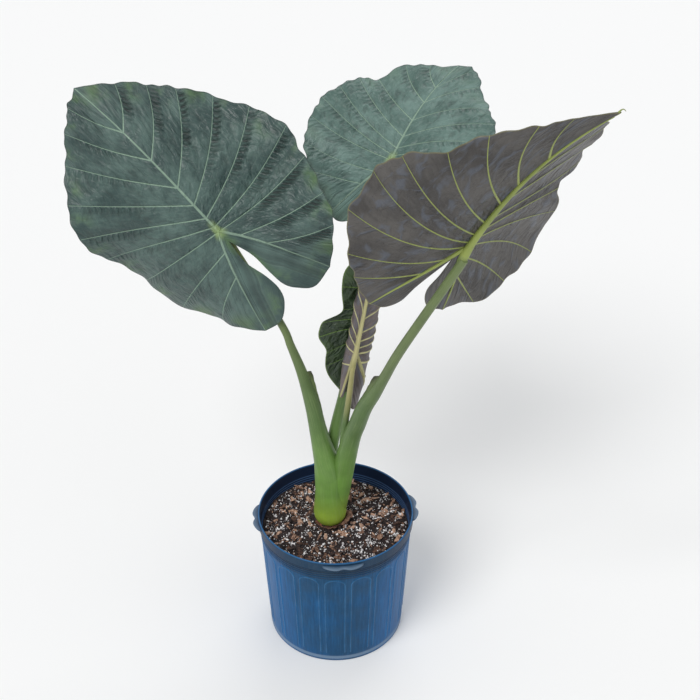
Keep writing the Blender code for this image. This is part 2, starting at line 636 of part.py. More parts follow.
class Blade:
    """Turns flat blade coordinates into places in space, all in millimetres."""

    def __init__(self, name):
        for key, value in BLADES[name].items():
            setattr(self, key, value)
        self.junction = np.array(self.junction, float)
        azimuth, rise, lean = (math.radians(a) for a in self.heading)
        forward = np.array([math.cos(azimuth) * math.cos(rise), math.sin(azimuth) * math.cos(rise),
                            math.sin(rise)])
        level = np.array([-math.sin(azimuth), math.cos(azimuth), 0.0])
        upright = np.cross(forward, level)
        self.forward = forward
        self.across = level * math.cos(lean) + upright * math.sin(lean)
        self.normal = np.cross(forward, self.across)
        self.stalk_turn = np.array(self.stalk_turn, float)
        self.stalk_turn /= np.linalg.norm(self.stalk_turn)
        self.stub_end = self.junction - self.normal * (self.rib + RIB_SUNK)
        self.stub_start = self.stub_end - self.stalk_turn * STUB

    def midrib_side(self, u):
        """How far the midrib strays sideways at u."""
        share = np.clip(u, 0, None) / BEND_LENGTH
        return self.wander[0] * share + self.wander[1] * share ** 3

    @staticmethod
    def along_leaf(values, u):
        """Blends three values set at the basal lobes, the junction and the tip half."""
        back, middle, front = values
        low = smooth_step(*BASE_BLEND, u)
        high = smooth_step(*TIP_BLEND, u)
        return back + (middle - back) * low + (front - middle) * high

    def place(self, u, v, lift=0.0):
        """The midrib bends along an arc. Across it each half leaves at its fold angle and
        turns by its curl (degrees in 180 mm) and its roll (degrees between two widths). The
        section is the running sum of short steps at that angle. lift is along the normal."""
        u = np.asarray(u, float)
        v = np.asarray(v, float)
        lift = np.asarray(lift, float)
        bend = np.radians(np.where(u >= 0, self.bend[0], self.bend[1])) / BEND_LENGTH
        bend = np.where(np.abs(bend) < 1e-9, 1e-9, bend)
        spine_u = np.sin(bend * u) / bend
        spine_n = (1 - np.cos(bend * u)) / bend
        first = v >= 0
        fold = np.where(first, self.along_leaf(self.fold[0], u), self.along_leaf(self.fold[1], u))
        curl = np.where(first, self.along_leaf(self.curl[0], u), self.along_leaf(self.curl[1], u))
        turn = np.where(first, self.roll[0][0], self.roll[1][0])
        turn_from = np.where(first, self.roll[0][1], self.roll[1][1])
        turn_to = np.where(first, self.roll[0][2], self.roll[1][2])
        width = np.abs(v)

        def angle_at(distance):
            share = np.clip((distance - turn_from) / np.maximum(turn_to - turn_from, 1e-6), 0, 1)
            return np.radians(fold + curl * distance / ANGLE_WIDTH + turn * share)

        out = np.zeros_like(u + v)
        rise = np.zeros_like(u + v)
        for step in range(FOLD_STEPS):
            angle = angle_at(width * (step + 0.5) / FOLD_STEPS)
            out = out + np.cos(angle) * width / FOLD_STEPS
            rise = rise + np.sin(angle) * width / FOLD_STEPS
        edge = angle_at(width)
        side = np.where(first, 1.0, -1.0)
        out = side * out - side * np.sin(edge) * lift
        rise = rise + np.cos(edge) * lift
        up = (-np.sin(bend * u))[..., None] * self.forward + np.cos(bend * u)[..., None] * self.normal
        return (self.junction + spine_u[..., None] * self.forward + spine_n[..., None] * self.normal
                + (self.midrib_side(u) + out)[..., None] * self.across + rise[..., None] * up)

    def rib_point(self, side, share):
        """A point on a basal rib, at a share of its way from the junction to its end."""
        end = self.rib_end[side]
        return np.array([end[0] * share, end[1] * share ** RIB_CURVE])

    def vein_rows(self, side):
        """Start and end of every grid row of a half, and its place counted in veins, from the
        tip to the end of the basal rib."""
        veins = self.veins[side]
        rib_length = abs(self.rib_end[side][0])
        starts = [self.length] + [row[0] for row in veins] + [-rib_length]
        ends = [(self.length, 0.0)] + [row[1:] for row in veins] + [self.rib_end[side]]
        places = np.arange((len(ends) - 1) * ROWS_PER_VEIN + 1) / ROWS_PER_VEIN
        rows = []
        for place, end in zip(places, curve_through(ends, places)):
            start = float(np.interp(place, np.arange(len(starts)), starts))
            if start >= 0:
                base = np.array([start, 0.0])
            else:
                base = self.rib_point(side, -start / rib_length)
            rows.append((base, end, place))
        return rows


def half_surface(blade, side):
    """Grid of one half: rows along the veins from midrib to margin, then the inner strip
    of its basal lobe. Returns flat points, lifts, vein weights and faces."""
    rows = blade.vein_rows(side)
    sign = 1.0 if side == 0 else -1.0
    depth, quilt, phase = blade.wave
    phase += HALF_SHIFT * side
    u, v, lift, weight, faces = [], [], [], [], []

    def add(point, height, strength):
        u.append(point[0])
        v.append(sign * max(sign * point[1], 0.0))
        lift.append(height)
        weight.append(strength)
        return len(u) - 1

    grid = []
    for base, end, place in rows:
        line = []
        off = place % 1.0
        calm = min(1.0, float(np.linalg.norm(end - base)) / CALM_LENGTH)
        for t in OUTER_COLUMNS:
            wave = depth * t ** 3 * math.sin(WAVES_PER_VEIN * place + phase) * calm
            bulge = quilt * math.sin(math.pi * off) * math.sin(math.pi * t ** 0.8) * calm
            strength = 1.0 if t == 0.0 else (1 - 0.85 * t) if off == 0.0 else 0.12 * (1 - t)
            line.append(add(base + (end - base) * t, wave + bulge, strength))
        grid.append(line)
    junction_row = min(range(len(rows)), key=lambda k: float(np.abs(rows[k][0]).sum()))
    inner_rows = grid[junction_row:]
    edge = smooth_path([(*p, 0.0) for p in [*blade.sinus[side], blade.rib_end[side]]], len(inner_rows))
    inner = []
    for line, row, target in zip(inner_rows, rows[junction_row:], edge):
        base = row[0]
        strip = [line[0]]
        for t in INNER_COLUMNS[1:]:
            strip.append(add(base + (target[:2] - base) * t, 0.0, 0.3 * (1 - t)))
        inner.append(strip)
    for block, flip in ((grid, side == 1), (inner, side == 0)):
        for a, b in zip(block[:-1], block[1:]):
            for k in range(len(a) - 1):
                quad = [a[k], a[k + 1], b[k + 1], b[k]]
                if flip:
                    quad.reverse()
                faces.append((quad[0], quad[1], quad[2]))
                faces.append((quad[0], quad[2], quad[3]))
    return np.array(u), np.array(v), np.array(lift), np.array(weight), faces


def blade_sheet(name, blade, parts):
    """The whole blade as one sheet, thickened below its top face, most along its veins."""
    points, weights, faces = [], [], []
    for side in (0, 1):
        u, v, lift, weight, own = half_surface(blade, side)
        offset = len(points)
        points += list(blade.place(u, v, lift) * MM)
        weights += list(weight)
        faces += [tuple(i + offset for i in face) for face in own]
    mesh = mesh_from(points, faces, f"blade_{name}")
    item = add_object(f"blade_{name}", mesh, parts)
    group = item.vertex_groups.new(name="veins")
    for index, value in enumerate(weights):
        group.add([index], value, "REPLACE")
    work = bmesh.new()
    work.from_mesh(mesh)
    bmesh.ops.remove_doubles(work, verts=work.verts, dist=SEAM_REACH)
    bmesh.ops.dissolve_degenerate(work, dist=1e-6, edges=work.edges)
    work.to_mesh(mesh)
    work.free()
    solid = item.modifiers.new("Blade thickness", "SOLIDIFY")
    solid.thickness = BLADE_EDGE + VEIN_RISE
    solid.offset = -1.0
    solid.vertex_group = "veins"
    solid.thickness_vertex_group = BLADE_EDGE / (BLADE_EDGE + VEIN_RISE)
    return made_mesh(item, f"blade_{name}", parts, blade.finish)


def rib_path(blade, flat, radii):
    """A rib under the blade. Its top is sunk in the blade, and the rest stands out below it."""
    flat = np.array(flat, float)
    radii = np.array(radii, float)
    centre = blade.place(flat[:, 0], flat[:, 1], -(radii + RIB_SUNK))
    return np.column_stack([centre, radii]) * MM


def build_blade(name, parts):
    blade = Blade(name)
    sheet = blade_sheet(name, blade, parts)
    ribs = new_collection(f"ribs {name}")
    along = np.linspace(0, blade.length * MIDRIB_SHARE, MIDRIB_POINTS)
    taper = blade.rib + (RIB_TIP - blade.rib) * (along / along[-1]) ** 0.7
    midrib = rib_path(blade, [(x, 0.0) for x in along], taper)
    first = [*blade.stub_start, blade.rib]
    second = [*(blade.stub_start + 4.0 * blade.stalk_turn), blade.rib]
    tube("midrib", np.vstack([np.array([first, second]) * MM, midrib]), ribs, resolution=2)
    for side in (0, 1):
        shares = np.linspace(0.015, 0.93, BASAL_RIB_POINTS)
        flat = [blade.rib_point(side, s) for s in shares]
        radii = blade.rib_side + (RIB_TIP - blade.rib_side) * shares ** 0.8
        tube("basal rib", rib_path(blade, flat, radii), ribs, resolution=1)
    boolean(sheet, "UNION", ribs)
    shade(sheet, 50)


def build():
    clear_scene()
    parts = new_collection("giant_taro")
    cutters = new_collection("cutters")
    build_pot(parts, cutters)
    build_soil(parts, cutters)
    build_husk(parts)
    build_stalks(parts, cutters)
    for name in BLADES:
        build_blade(name, parts)


build()
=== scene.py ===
"""Giant taro in a moulded nursery pot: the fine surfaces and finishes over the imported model.

Laid out as an add-on with one operator for each group of pieces. Lengths are metres unless a
name or a table says millimetres. The leaf and stalk tables are in millimetres.
"""
import math
from functools import partial

import bpy
import numpy as np
from bpy.props import FloatProperty, FloatVectorProperty, IntProperty, PointerProperty
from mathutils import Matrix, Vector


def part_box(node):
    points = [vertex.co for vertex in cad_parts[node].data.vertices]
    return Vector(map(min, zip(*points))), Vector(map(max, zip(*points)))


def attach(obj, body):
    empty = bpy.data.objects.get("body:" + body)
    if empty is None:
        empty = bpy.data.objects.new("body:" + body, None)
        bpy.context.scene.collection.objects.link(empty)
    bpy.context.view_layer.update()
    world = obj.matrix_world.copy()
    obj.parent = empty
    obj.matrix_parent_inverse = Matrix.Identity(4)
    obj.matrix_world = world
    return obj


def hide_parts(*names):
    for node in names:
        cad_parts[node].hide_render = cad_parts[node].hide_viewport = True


bl_info = {
    "name": "Giant taro in a nursery pot",
    "version": (1, 0, 0),
    "blender": (4, 5, 0),
    "location": "View3D > Sidebar > Taro",
    "description": "Dresses a packed giant taro with fine surfaces, finishes, stage and camera",
    "category": "Object",
}

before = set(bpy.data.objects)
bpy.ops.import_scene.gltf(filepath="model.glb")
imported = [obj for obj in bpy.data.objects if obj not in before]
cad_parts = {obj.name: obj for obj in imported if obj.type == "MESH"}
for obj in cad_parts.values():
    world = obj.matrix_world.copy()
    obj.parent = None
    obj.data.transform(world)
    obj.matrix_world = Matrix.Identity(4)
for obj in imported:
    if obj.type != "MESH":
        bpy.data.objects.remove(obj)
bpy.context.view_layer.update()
BODY = "root"
MM = 0.001

# Pot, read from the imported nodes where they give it
POT_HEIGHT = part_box("pot")[1].z
RIM_RADIUS = 0.132
BODY_TOP_RADIUS = 0.1285
BODY_FOOT_RADIUS = 0.1175
BASE_RADIUS = 0.1160
WALL = 0.0022
FLOOR_THICKNESS = 0.004
FLOOR_RADIUS = 0.1144        # where the wall piece meets the drained floor piece
BAND_Z = POT_HEIGHT - 0.018   # the rim band's lower edge
FOOT_RING = 0.012
PANELS = 18
PANEL_HALF_ANGLE = math.radians(7.6)
PANEL_FOOT_Z = 0.020
PANEL_SHOULDER_Z = 0.186
PANEL_CROWN = 0.012
BEAD_WIDTH = 0.0009          # half width of a panel's raised outline
RINGS = 4                    # thin rings under the rim band
RING_DROP = 0.0035           # from the band down to the first ring
RING_PITCH = 0.0046
RING_WIDTH = 0.0009
# The lip, up the outside, over the rim and down inside: mm in from the rim, mm below its top
LIP = [(1.4, 18.0), (0.2, 16.8), (0.0, 14.0), (0.6, 9.0), (0.0, 3.0), (0.3, 1.0), (1.2, 0.1),
       (2.2, 0.2), (3.0, 1.2), (3.6, 4.0), (4.2, 14.0)]
LUGS = 4
LUG_TURN = math.radians(6)
LUG_HALF_ANGLE = math.radians(15)
LUG_REACH = 0.0115
LUG_DIP = 0.40
LUG_THICKNESS = 0.0032
LUG_Z = 0.2335
DRAIN_HOLES = 8
DRAIN_RADIUS = 0.008
DRAIN_CIRCLE = 0.088

# Soil and foot
SOIL_EDGE_Z = 0.2085
SOIL_MOUND = 0.006
FOOT_XY = (-0.009, 0.008)
FOOT_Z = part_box("corm")[1].z
CORM_BOTTOM_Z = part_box("corm")[0].z
CORM_RADIUS = 0.0262
SOIL_TOP_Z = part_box("soil")[1].z
SCATTER_RADIUS = 0.1215      # loose pieces lie within this radius

# Stalks: (x, y, z, radius) in mm up the axis, from the foot to just below the blade
STALKS = {
    "young": [(4, 10, 214.3, 5), (7, 8, 280, 5.5), (10, 4, 339, 5.6), (14, -3, 400, 5.6),
              (18, -9, 440, 5.3), (22, -14, 475, 4.9), (26, -16, 512, 4.3)],
    "right": [(0, 10, 214.3, 14.5), (8, 9, 277, 16.5), (16, 4, 339, 17.2), (27, -10, 403, 15),
              (36, -22, 438, 13.8), (47, -35, 480, 12.6), (62, -50, 518, 10.5), (77, -63, 558, 8.2),
              (101, -89, 628, 7.3), (133, -115, 714, 7.1)],
    "back": [(-13, 17, 214.3, 9), (-11, 24, 290, 10), (-5, 36, 352, 10.2), (4, 50, 395, 9.5),
             (15, 68, 439, 8.4), (33, 104, 525, 6.9), (56, 150, 630, 6.2), (78, 194, 728, 5.8)],
    "left": [(-9, 8, 214.3, 25), (-10, 8, 245, 26), (-11, 9, 285, 24.6), (-13, 11, 325, 22),
             (-19, 17, 352, 18.5), (-28, 27, 390, 14.6), (-37, 39, 432, 12.6), (-53, 55, 483, 9),
             (-71, 71, 526, 6.8), (-88, 86, 562, 6.2), (-131, 104, 640, 5.9)],
}
# The free edge of a stalk's sheath: the azimuth it faces in degrees, and how far it stands out in
# mm at heights in mm. It is cut off square at its top.
SHEATHS = {"left": (-4, [(415, 0.0), (448, 2.2), (476, 6.0), (484, 6.2)]),
           "right": (167, [(474, 0.0), (500, 2.4), (522, 4.6), (548, 7.4), (555, 7.2)])}

# Blades, drawn flat in mm: u runs along the midrib from the stalk's junction towards the tip,
# v across it, and both halves are then folded and curled about the midrib. A vein is (where it
# leaves the midrib, u of its end, v of its end). Negative starts lie on the basal rib. bow is how
# far the veins bow towards the stalk, as a share of their length, at the tip, the junction and
# the basal lobe. heading is the midrib's azimuth, its rise and the blade's lean about it, and fold
# and curl are each half's at the basal lobes, the junction and the tip half, all in degrees. roll
# is a half's further turn in degrees, and the two widths in mm between which it is made. rib and
# rib_side are the radii of the midrib and a basal rib, and sinus is the edge between the lobes.
# wave is the depth of the margin's wave, the height of the quilting, a phase and a pace. bend is
# the midrib's turn in degrees ahead of the junction and behind it, and stalk_turn is the way that
# the top of the stalk points.
BLADES = {
    "left": dict(
        junction=(-179, 100, 718), heading=(170, 44, -62), length=312, rib=5.8, rib_side=4.0,
        wander=(-24, 14), bend=(-23, 6), fold=((-14, -8, -8), (9, -16, -16)),
        curl=((-55, -55, -3), (28, 28, -14)),
        stalk_turn=(-0.60, -0.10, 0.79),
        veins=(
            [(208, 298, 30), (148, 275, 63), (91, 246, 103), (55, 200, 144), (28, 151, 172),
             (10, 99, 185), (0, 21, 186), (-30, -54, 178), (-70, -112, 141)],
            [(208, 275, -48), (148, 243, -84), (91, 206, -112), (55, 154, -145), (28, 97, -171),
             (10, 35, -190), (0, -16, -179), (-28, -71, -161), (-66, -117, -140)]),
        rib_end=((-166, 76), (-162, -82)),
        sinus=(
            [(-22, 0), (-62, 7), (-100, 1), (-130, 1), (-152, 12), (-170, 40)],
            [(-22, 0), (-62, -9), (-100, -8), (-130, -9), (-150, -20), (-168, -42)]),
        wave=(5.0, 2.3, 11, 1.0), bow=((0.05, -0.015, -0.03), (0.06, 0.05, 0.05))),
    "back": dict(
        junction=(90, 220, 785), heading=(63.5, 30.5, 2), length=242, rib=5.3, rib_side=3.4,
        wander=(-6, -34), bend=(-23, 0), fold=((30, 4, 4), (5, 17, 17)),
        curl=((27, 27, 9), (-18, -18, -31)),
        stalk_turn=(0.30, 0.48, 0.82),
        veins=(
            [(170, 220, 39), (130, 199, 71), (86, 157, 96), (49, 138, 122), (24, 100, 138),
             (9, 68, 152), (0, 22, 150), (-30, -46, 138), (-62, -91, 109)],
            [(170, 220, -44), (130, 178, -78), (86, 132, -114), (49, 93, -142), (24, 52, -160),
             (9, 10, -168), (0, -25, -161), (-30, -65, -137), (-60, -107, -104)]),
        rib_end=((-138, 52), (-138, -52)),
        sinus=(
            [(-20, 0), (-60, 6), (-100, 5), (-128, 16), (-142, 34)],
            [(-20, 0), (-60, -6), (-100, -6), (-128, -17), (-142, -34)]),
        wave=(4.5, 2.0, 23, 1.0), bow=((0.05, 0.02, -0.01), (-0.03, -0.05, 0.02))),
    "right": dict(
        junction=(179, -130, 819), heading=(-21, 54, -38), length=270, rib=6.6, rib_side=4.4,
        wander=(-53, 118), bend=(0, 0), fold=((0, 15, 20), (-4, -8, -8)),
        curl=((-6, -6, 4), (67, 67, 67)),
        stalk_turn=(0.34, -0.07, 0.93),
        veins=(
            [(178, 242, 50), (125, 213, 103), (88, 169, 148), (50, 122, 190), (25, 89, 153),
             (9, 47, 181), (0, -31, 187), (-26, -73, 149), (-64, -116, 117)],
            [(178, 245, -48), (125, 222, -74), (88, 179, -102), (50, 134, -126), (25, 93, -164),
             (9, 39, -182), (0, -30, -175), (-28, -85, -135), (-62, -119, -105)]),
        rib_end=((-142, 76), (-146, -62)),
        sinus=(
            [(-30, 0), (-66, 8), (-98, 10), (-124, 26), (-142, 50)],
            [(-30, 0), (-66, -10), (-98, -16), (-128, -18), (-146, -36)]),
        wave=(4.5, 1.8, 37, 1.0), bow=((0.0, -0.05, 0.03), (0.07, 0.02, -0.03))),
    "young": dict(
        junction=(33, -6, 563), heading=(0, 80, -90), length=205, rib=3.9, rib_side=2.4,
        wander=(0, 0), bend=(6, 34), fold=((12, 12, 12), (14, 14, 14)),
        curl=((0, 0, 0), (0, 0, 0)), roll=((178, 12, 58), (232, 6, 52)),
        stalk_turn=(0.17, 0.20, 0.965),
        veins=(
            [(130, 178, 46), (92, 145, 91), (63, 101, 104), (38, 60, 97), (22, 31, 120),
             (10, 8, 124), (0, -24, 108), (-16, -56, 102), (-50, -102, 78)],
            [(130, 176, -20), (92, 148, -31), (63, 120, -38), (38, 92, -43), (22, 64, -45),
             (10, 40, -45), (0, 8, -45), (-22, -34, -24)]),
        rib_end=((-118, 48), (-94, -8)),
        sinus=(
            [(-16, 0), (-60, 3), (-100, 6), (-124, 20)],
            [(-16, 0), (-44, -2), (-72, -2.5), (-91, -3.5)]),
        wave=(3.2, 0.8, 51, 0.45), bow=((-0.10, -0.15, -0.05), (-0.15, -0.14, -0.04))),
}
# Dried tip threads: distances along, across and below in mm, then the radius
TENDRILS = {"right": [(0.0, 0.0, 0.0, 1.5), (5.0, 0.0, 0.0, 1.2), (9.0, 0.5, 0.6, 0.8),
                      (12.0, 1.5, 3.0, 0.55), (14.5, 2.5, 7.0, 0.35)]}
RIB_SUNK = 0.9               # the top of a rib lies this far below the blade's top face, in mm
RIB_TIP = 1.2                # radius of a rib where it ends, in mm
STUB = 22.0                  # length of stalk that belongs to the blade, in mm
FOLD_STEPS = 24              # steps in which a half's cross-section is integrated
BLADE_EDGE = 0.9             # thickness of a blade between its veins, in mm
BEND_LENGTH = 300.0          # length in mm over which a midrib's bend and wander are given
CURL_WIDTH = 180.0           # width in mm over which a half's curl is given
LANE_STEPS = np.array([0.0, 0.012, 0.026, 0.045, 0.075, 0.12, 0.18, 0.25, 0.33, 0.42, 0.5, 0.58, 0.67,
                       0.75, 0.82, 0.88, 0.925, 0.955, 0.974, 0.988])
OUT_STEPS = np.linspace(0, 1, 60)
INNER_STEPS = np.linspace(0, 1, 12)
RIB_TRACK = 220              # points on a basal rib from which distances are measured
# Stations along a stalk, its midrib, a basal rib and a tip thread
STALK_STATIONS, MIDRIB_STATIONS, RIB_STATIONS, THREAD_STATIONS = 150, 90, 26, 30
JUNCTION_SHARE = 0.7         # the share of a stalk's colours that is used up at the junction

# Stage
FLOOR_HALF = 14.0
FLOOR_Z = -0.0002
CAMERA_PLACE = (0.0245, -1.552, 1.588)
CAMERA_TILT = math.radians(56.61)
# Soft lamps: direction, share of the key's strength, width in degrees and colour
LAMPS = {"key": ((-1.1, -1.4, 2.2), 1.0, 32.0, (1.0, 0.99, 0.97)),
         "fill": ((2.0, -1.0, 1.2), 0.18, 60.0, (0.95, 0.98, 1.0)),
         "back": ((0.6, 2.0, 1.9), 0.35, 45.0, (1.0, 1.0, 1.0))}


# Colours and sizes that a user would change

def linear(hex_colour):
    """sRGB hex to linear RGBA: below 0.04045 a straight line, above it a power of 2.4."""
    code = hex_colour.lstrip("#")
    channels = [int(code[i:i + 2], 16) / 255 for i in (0, 2, 4)]
    return tuple(c / 12.92 if c <= 0.04045 else ((c + 0.055) / 1.055) ** 2.4 for c in channels) + (1.0,)


def colour_property(name, description, default):
    """A colour that a user can change, from its sRGB hex."""
    return FloatVectorProperty(name=name, description=description, subtype="COLOR", size=4,
                               min=0.0, max=1.0, default=linear(default))


class PotSettings(bpy.types.PropertyGroup):
    wall_colour: colour_property("Wall", "Colour of the moulded plastic outside", "#06609c")
    # The band colour is partly weathering and partly painted shade under the rim's lip
    band_colour: colour_property("Band", "Weathered grey-blue of the rim band", "#26384e")
    inside_colour: colour_property("Inside", "Colour of the shaded inner wall", "#14233c")
    worn_colour: colour_property("Worn plastic", "Colour where it is scuffed pale", "#7a90a8")
    bead_height: FloatProperty(name="Bead height", description="Height of the raised panel outlines",
                               default=0.0009, unit="LENGTH", min=0.0, max=0.002)


class SoilSettings(bpy.types.PropertyGroup):
    peat_colour: colour_property("Peat", "Colour of the dark mix", "#171112")
    bark_colour: colour_property("Bark", "Colour of the bark chips", "#6f5040")
    perlite_colour: colour_property("Perlite", "Colour of the white grains", "#f4f2f4")
    bark_count: IntProperty(name="Bark chips", description="Number of loose bark chips", default=640,
                            min=0, max=1500)
    perlite_count: IntProperty(name="Perlite grains", description="Number of white grains",
                               default=2700, min=0, max=4000)
    crumb_count: IntProperty(name="Crumbs", description="Number of dark crumbs", default=2600,
                             min=0, max=5000)


class StalkSettings(bpy.types.PropertyGroup):
    foot_colour: colour_property("Foot", "Yellow-green of the swollen foot", "#9cb83c")
    stalk_colour: colour_property("Stalk", "Green of the leaf stalks", "#56703f")
    upper_colour: colour_property("Upper stalk", "Olive of the stalks near the blades", "#6f7e4e")
    young_colour: colour_property("Young stalk", "Straw green of the youngest stalk", "#a09a66")
    dry_colour: colour_property("Dry edge", "Dark brown of a sheath's dry edge", "#2e2d22")


class BladeSettings(bpy.types.PropertyGroup):
    top_colour: colour_property("Top face", "Slate green of a grown blade's top face", "#2f4543")
    vein_colour: colour_property("Veins above", "Pale green of the veins on the top face", "#8fa995")
    under_colour: colour_property("Underside", "Purple-brown of the underside", "#373432")
    under_vein_colour: colour_property("Veins below", "Yellow-green of the veins below", "#9aa657")
    young_colour: colour_property("Young top face", "Deep green of the young blade", "#1f2f1c")
    margin_colour: colour_property("Margin patches", "Yellow-green near the margin", "#52703f")
    pucker_depth: FloatProperty(name="Pucker depth", description="Depth of the puckers beside the veins",
                                default=0.0030, unit="LENGTH", min=0.0, max=0.006)


class StageSettings(bpy.types.PropertyGroup):
    floor_colour: colour_property("Floor", "Colour of the plain floor", "#f4f4f4")
    key_strength: FloatProperty(name="Key light", description="Strength of the main soft light",
                                default=1.62, min=0.0, max=10.0)
    lens: FloatProperty(name="Lens", description="Focal length on a 36 mm sensor", default=61.714,
                        min=10.0, max=200.0)


# Numbers and meshes

def curve_through(points, at):
    """Catmull-Rom curve through points, read at fractional indices: a cubic in each interval
    whose slope at a point is half the step between that point's neighbours."""
    points = np.asarray(points, float)
    at = np.asarray(at, float)
    padded = np.vstack([2 * points[0] - points[1], points, 2 * points[-1] - points[-2]])
    index = np.clip(at.astype(int), 0, len(points) - 2)
    t = (at - index)[:, None]
    a, b, c, d = (padded[index + i] for i in range(4))
    return 0.5 * (2 * b + (c - a) * t + (2 * a - 5 * b + 4 * c - d) * t ** 2
                  + (3 * b - a - 3 * c + d) * t ** 3)


def evenly(points, shares):
    """Points at given shares of the length of the smooth curve through points."""
    points = np.asarray(points, float)
    fine = curve_through(points, np.linspace(0, len(points) - 1, 24 * (len(points) - 1) + 1))
    travelled = np.r_[0, np.cumsum(np.linalg.norm(np.diff(fine[:, :3], axis=0), axis=1))]
    wanted = np.asarray(shares) * travelled[-1]
    return np.column_stack([np.interp(wanted, travelled, fine[:, k]) for k in range(fine.shape[1])])


def smooth_step(low, high, value):
    """0 below low, 1 above high, and 3t2 - 2t3 between them."""
    t = np.clip((value - low) / (high - low), 0, 1)
    return t * t * (3 - 2 * t)


def grid_faces(rows, columns, close_columns=False, close_rows=False, offset=0):
    """Quads of a grid of rows by columns of points. A closed way joins its last line to its first."""
    r = np.arange(rows if close_rows else rows - 1)
    c = np.arange(columns if close_columns else columns - 1)
    r, c = np.meshgrid(r, c, indexing="ij")
    after_r, after_c = (r + 1) % rows, (c + 1) % columns
    quads = np.stack([r * columns + c, r * columns + after_c, after_r * columns + after_c,
                      after_r * columns + c], axis=-1)
    return quads.reshape(-1, 4) + offset


def triangles(quads):
    """Each quad as the two triangles on either side of its first diagonal."""
    return np.vstack([quads[:, [0, 1, 2]], quads[:, [0, 2, 3]]])


def mesh_object(name, points, face_sets, attributes=None, sharp=None):
    """A mesh object at the origin from an (n, 3) array of points and arrays of faces."""
    mesh = bpy.data.meshes.new(name)
    points = np.asarray(points, np.float32)
    mesh.vertices.add(len(points))
    mesh.vertices.foreach_set("co", points.ravel())
    sizes = np.concatenate([np.full(len(f), f.shape[1]) for f in face_sets])
    corners = np.concatenate([f.ravel() for f in face_sets])
    mesh.loops.add(len(corners))
    mesh.loops.foreach_set("vertex_index", corners.astype(np.int32))
    mesh.polygons.add(len(sizes))
    mesh.polygons.foreach_set("loop_start", np.r_[0, np.cumsum(sizes)[:-1]].astype(np.int32))
    mesh.polygons.foreach_set("loop_total", sizes.astype(np.int32))
    for key, values in (attributes or {}).items():
        layer = mesh.attributes.new(key, "FLOAT", "POINT")
        layer.data.foreach_set("value", np.asarray(values, np.float32))
    mesh.update(calc_edges=True)
    mesh.shade_smooth()
    if sharp is not None:
        mesh.set_sharp_from_angle(angle=math.radians(sharp))
    made = bpy.data.objects.new(name, mesh)
    bpy.context.scene.collection.objects.link(made)
    return made


def closed_sheet(top, bottom, faces):
    """Joins a sheet's two faces by a strip along every edge that only one triangle uses."""
    edges = np.vstack([faces[:, [0, 1]], faces[:, [1, 2]], faces[:, [2, 0]]]).astype(np.int64)
    size = len(top)
    code = edges[:, 0] * size + edges[:, 1]
    back = edges[:, 1] * size + edges[:, 0]
    rim = edges[~np.isin(code, back)]
    strip = np.column_stack([rim[:, 1], rim[:, 0], rim[:, 0] + size, rim[:, 1] + size])
    return np.vstack([top, bottom]), [faces, faces[:, ::-1] + size, strip]


def finish_piece(made, material, slot, *nodes):
    """Gives a piece its material and body, and hides the CAD nodes that it stands for.
    slot is not used.
    """
    made.data.materials.clear()
    made.data.materials.append(material)
    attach(made, BODY)
    if nodes:
        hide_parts(*nodes)
    return made


def joined(parts):
    """Several (points, list of face arrays, attributes) as one, with the faces renumbered."""
    points, face_sets, attributes, count = [], [], {}, 0
    for own_points, own_faces, own_attributes in parts:
        points.append(own_points)
        face_sets += [faces + count for faces in own_faces]
        for key, values in own_attributes.items():
            attributes.setdefault(key, []).append(values)
        count += len(own_points)
    return np.vstack(points), face_sets, {key: np.concatenate(v) for key, v in attributes.items()}


def sweep(path, across, sides, profile=None):
    """A round tube along path (x, y, z, radius), closed by a point at each end. Each section
    lies in the plane across the path's slope, turned so that angle 0 points to across made
    square to the slope. profile(station, angle) multiplies the radius."""
    centre, radius = path[:, :3], path[:, 3]
    slope = np.gradient(centre, axis=0)
    slope /= np.linalg.norm(slope, axis=1)[:, None]
    side = across - (slope @ across)[:, None] * slope
    side /= np.linalg.norm(side, axis=1)[:, None]
    other = np.cross(slope, side)
    angle = np.linspace(0, 2 * math.pi, sides, endpoint=False)
    station, turn = np.meshgrid(np.arange(len(path)), angle, indexing="ij")
    reach = radius[:, None] * (profile(station, turn) if profile else 1.0)
    ring = (centre[:, None] + reach[..., None] * (np.cos(turn)[..., None] * side[:, None]
                                                  + np.sin(turn)[..., None] * other[:, None]))
    points = np.vstack([ring.reshape(-1, 3), centre[:1], centre[-1:]])
    count = len(path) * sides
    loop = np.arange(sides)
    first = np.column_stack([np.full(sides, count), np.roll(loop, -1), loop])
    last = (len(path) - 1) * sides
    final = np.column_stack([np.full(sides, count + 1), last + loop, last + np.roll(loop, -1)])
    stations = np.concatenate([station.ravel(), [0, len(path) - 1]])
    turns = np.concatenate([turn.ravel(), [0, 0]])
    return points, [grid_faces(len(path), sides, close_columns=True), first, final], stations, turns


# Materials

# The main setting of each kind of node that has one
MODES = {"Math": "operation", "Mix": "data_type", "MapRange": "interpolation_type",
         "Attribute": "attribute_name", "TexVoronoi": "feature"}
MIXED = 2                    # the colour output of a Mix node


def add_node(tree, kind, inputs=(), out=0, stops=(), **settings):
    """Adds one shader node and returns its output socket. kind is its type and, after a space,
    its main setting. inputs are sockets or values, in order or by name or number. stops fill a
    colour ramp, where a number stands for a grey."""
    kind, _, mode = kind.partition(" ")
    made = tree.nodes.new("ShaderNode" + kind)
    if mode:
        settings[MODES[kind]] = mode
    for key, value in settings.items():
        setattr(made, key, value)
    for key, given in inputs.items() if isinstance(inputs, dict) else enumerate(inputs):
        if isinstance(given, bpy.types.NodeSocket):
            tree.links.new(given, made.inputs[key])
        else:
            made.inputs[key].default_value = given
    if stops:
        ramp = made.color_ramp.elements
        while len(ramp) < len(stops):
            ramp.new(0.5)
        for element, (position, shade) in zip(ramp, stops):
            element.position = position
            element.color = (shade, shade, shade, 1.0) if isinstance(shade, float) else shade
    return made.outputs[out]


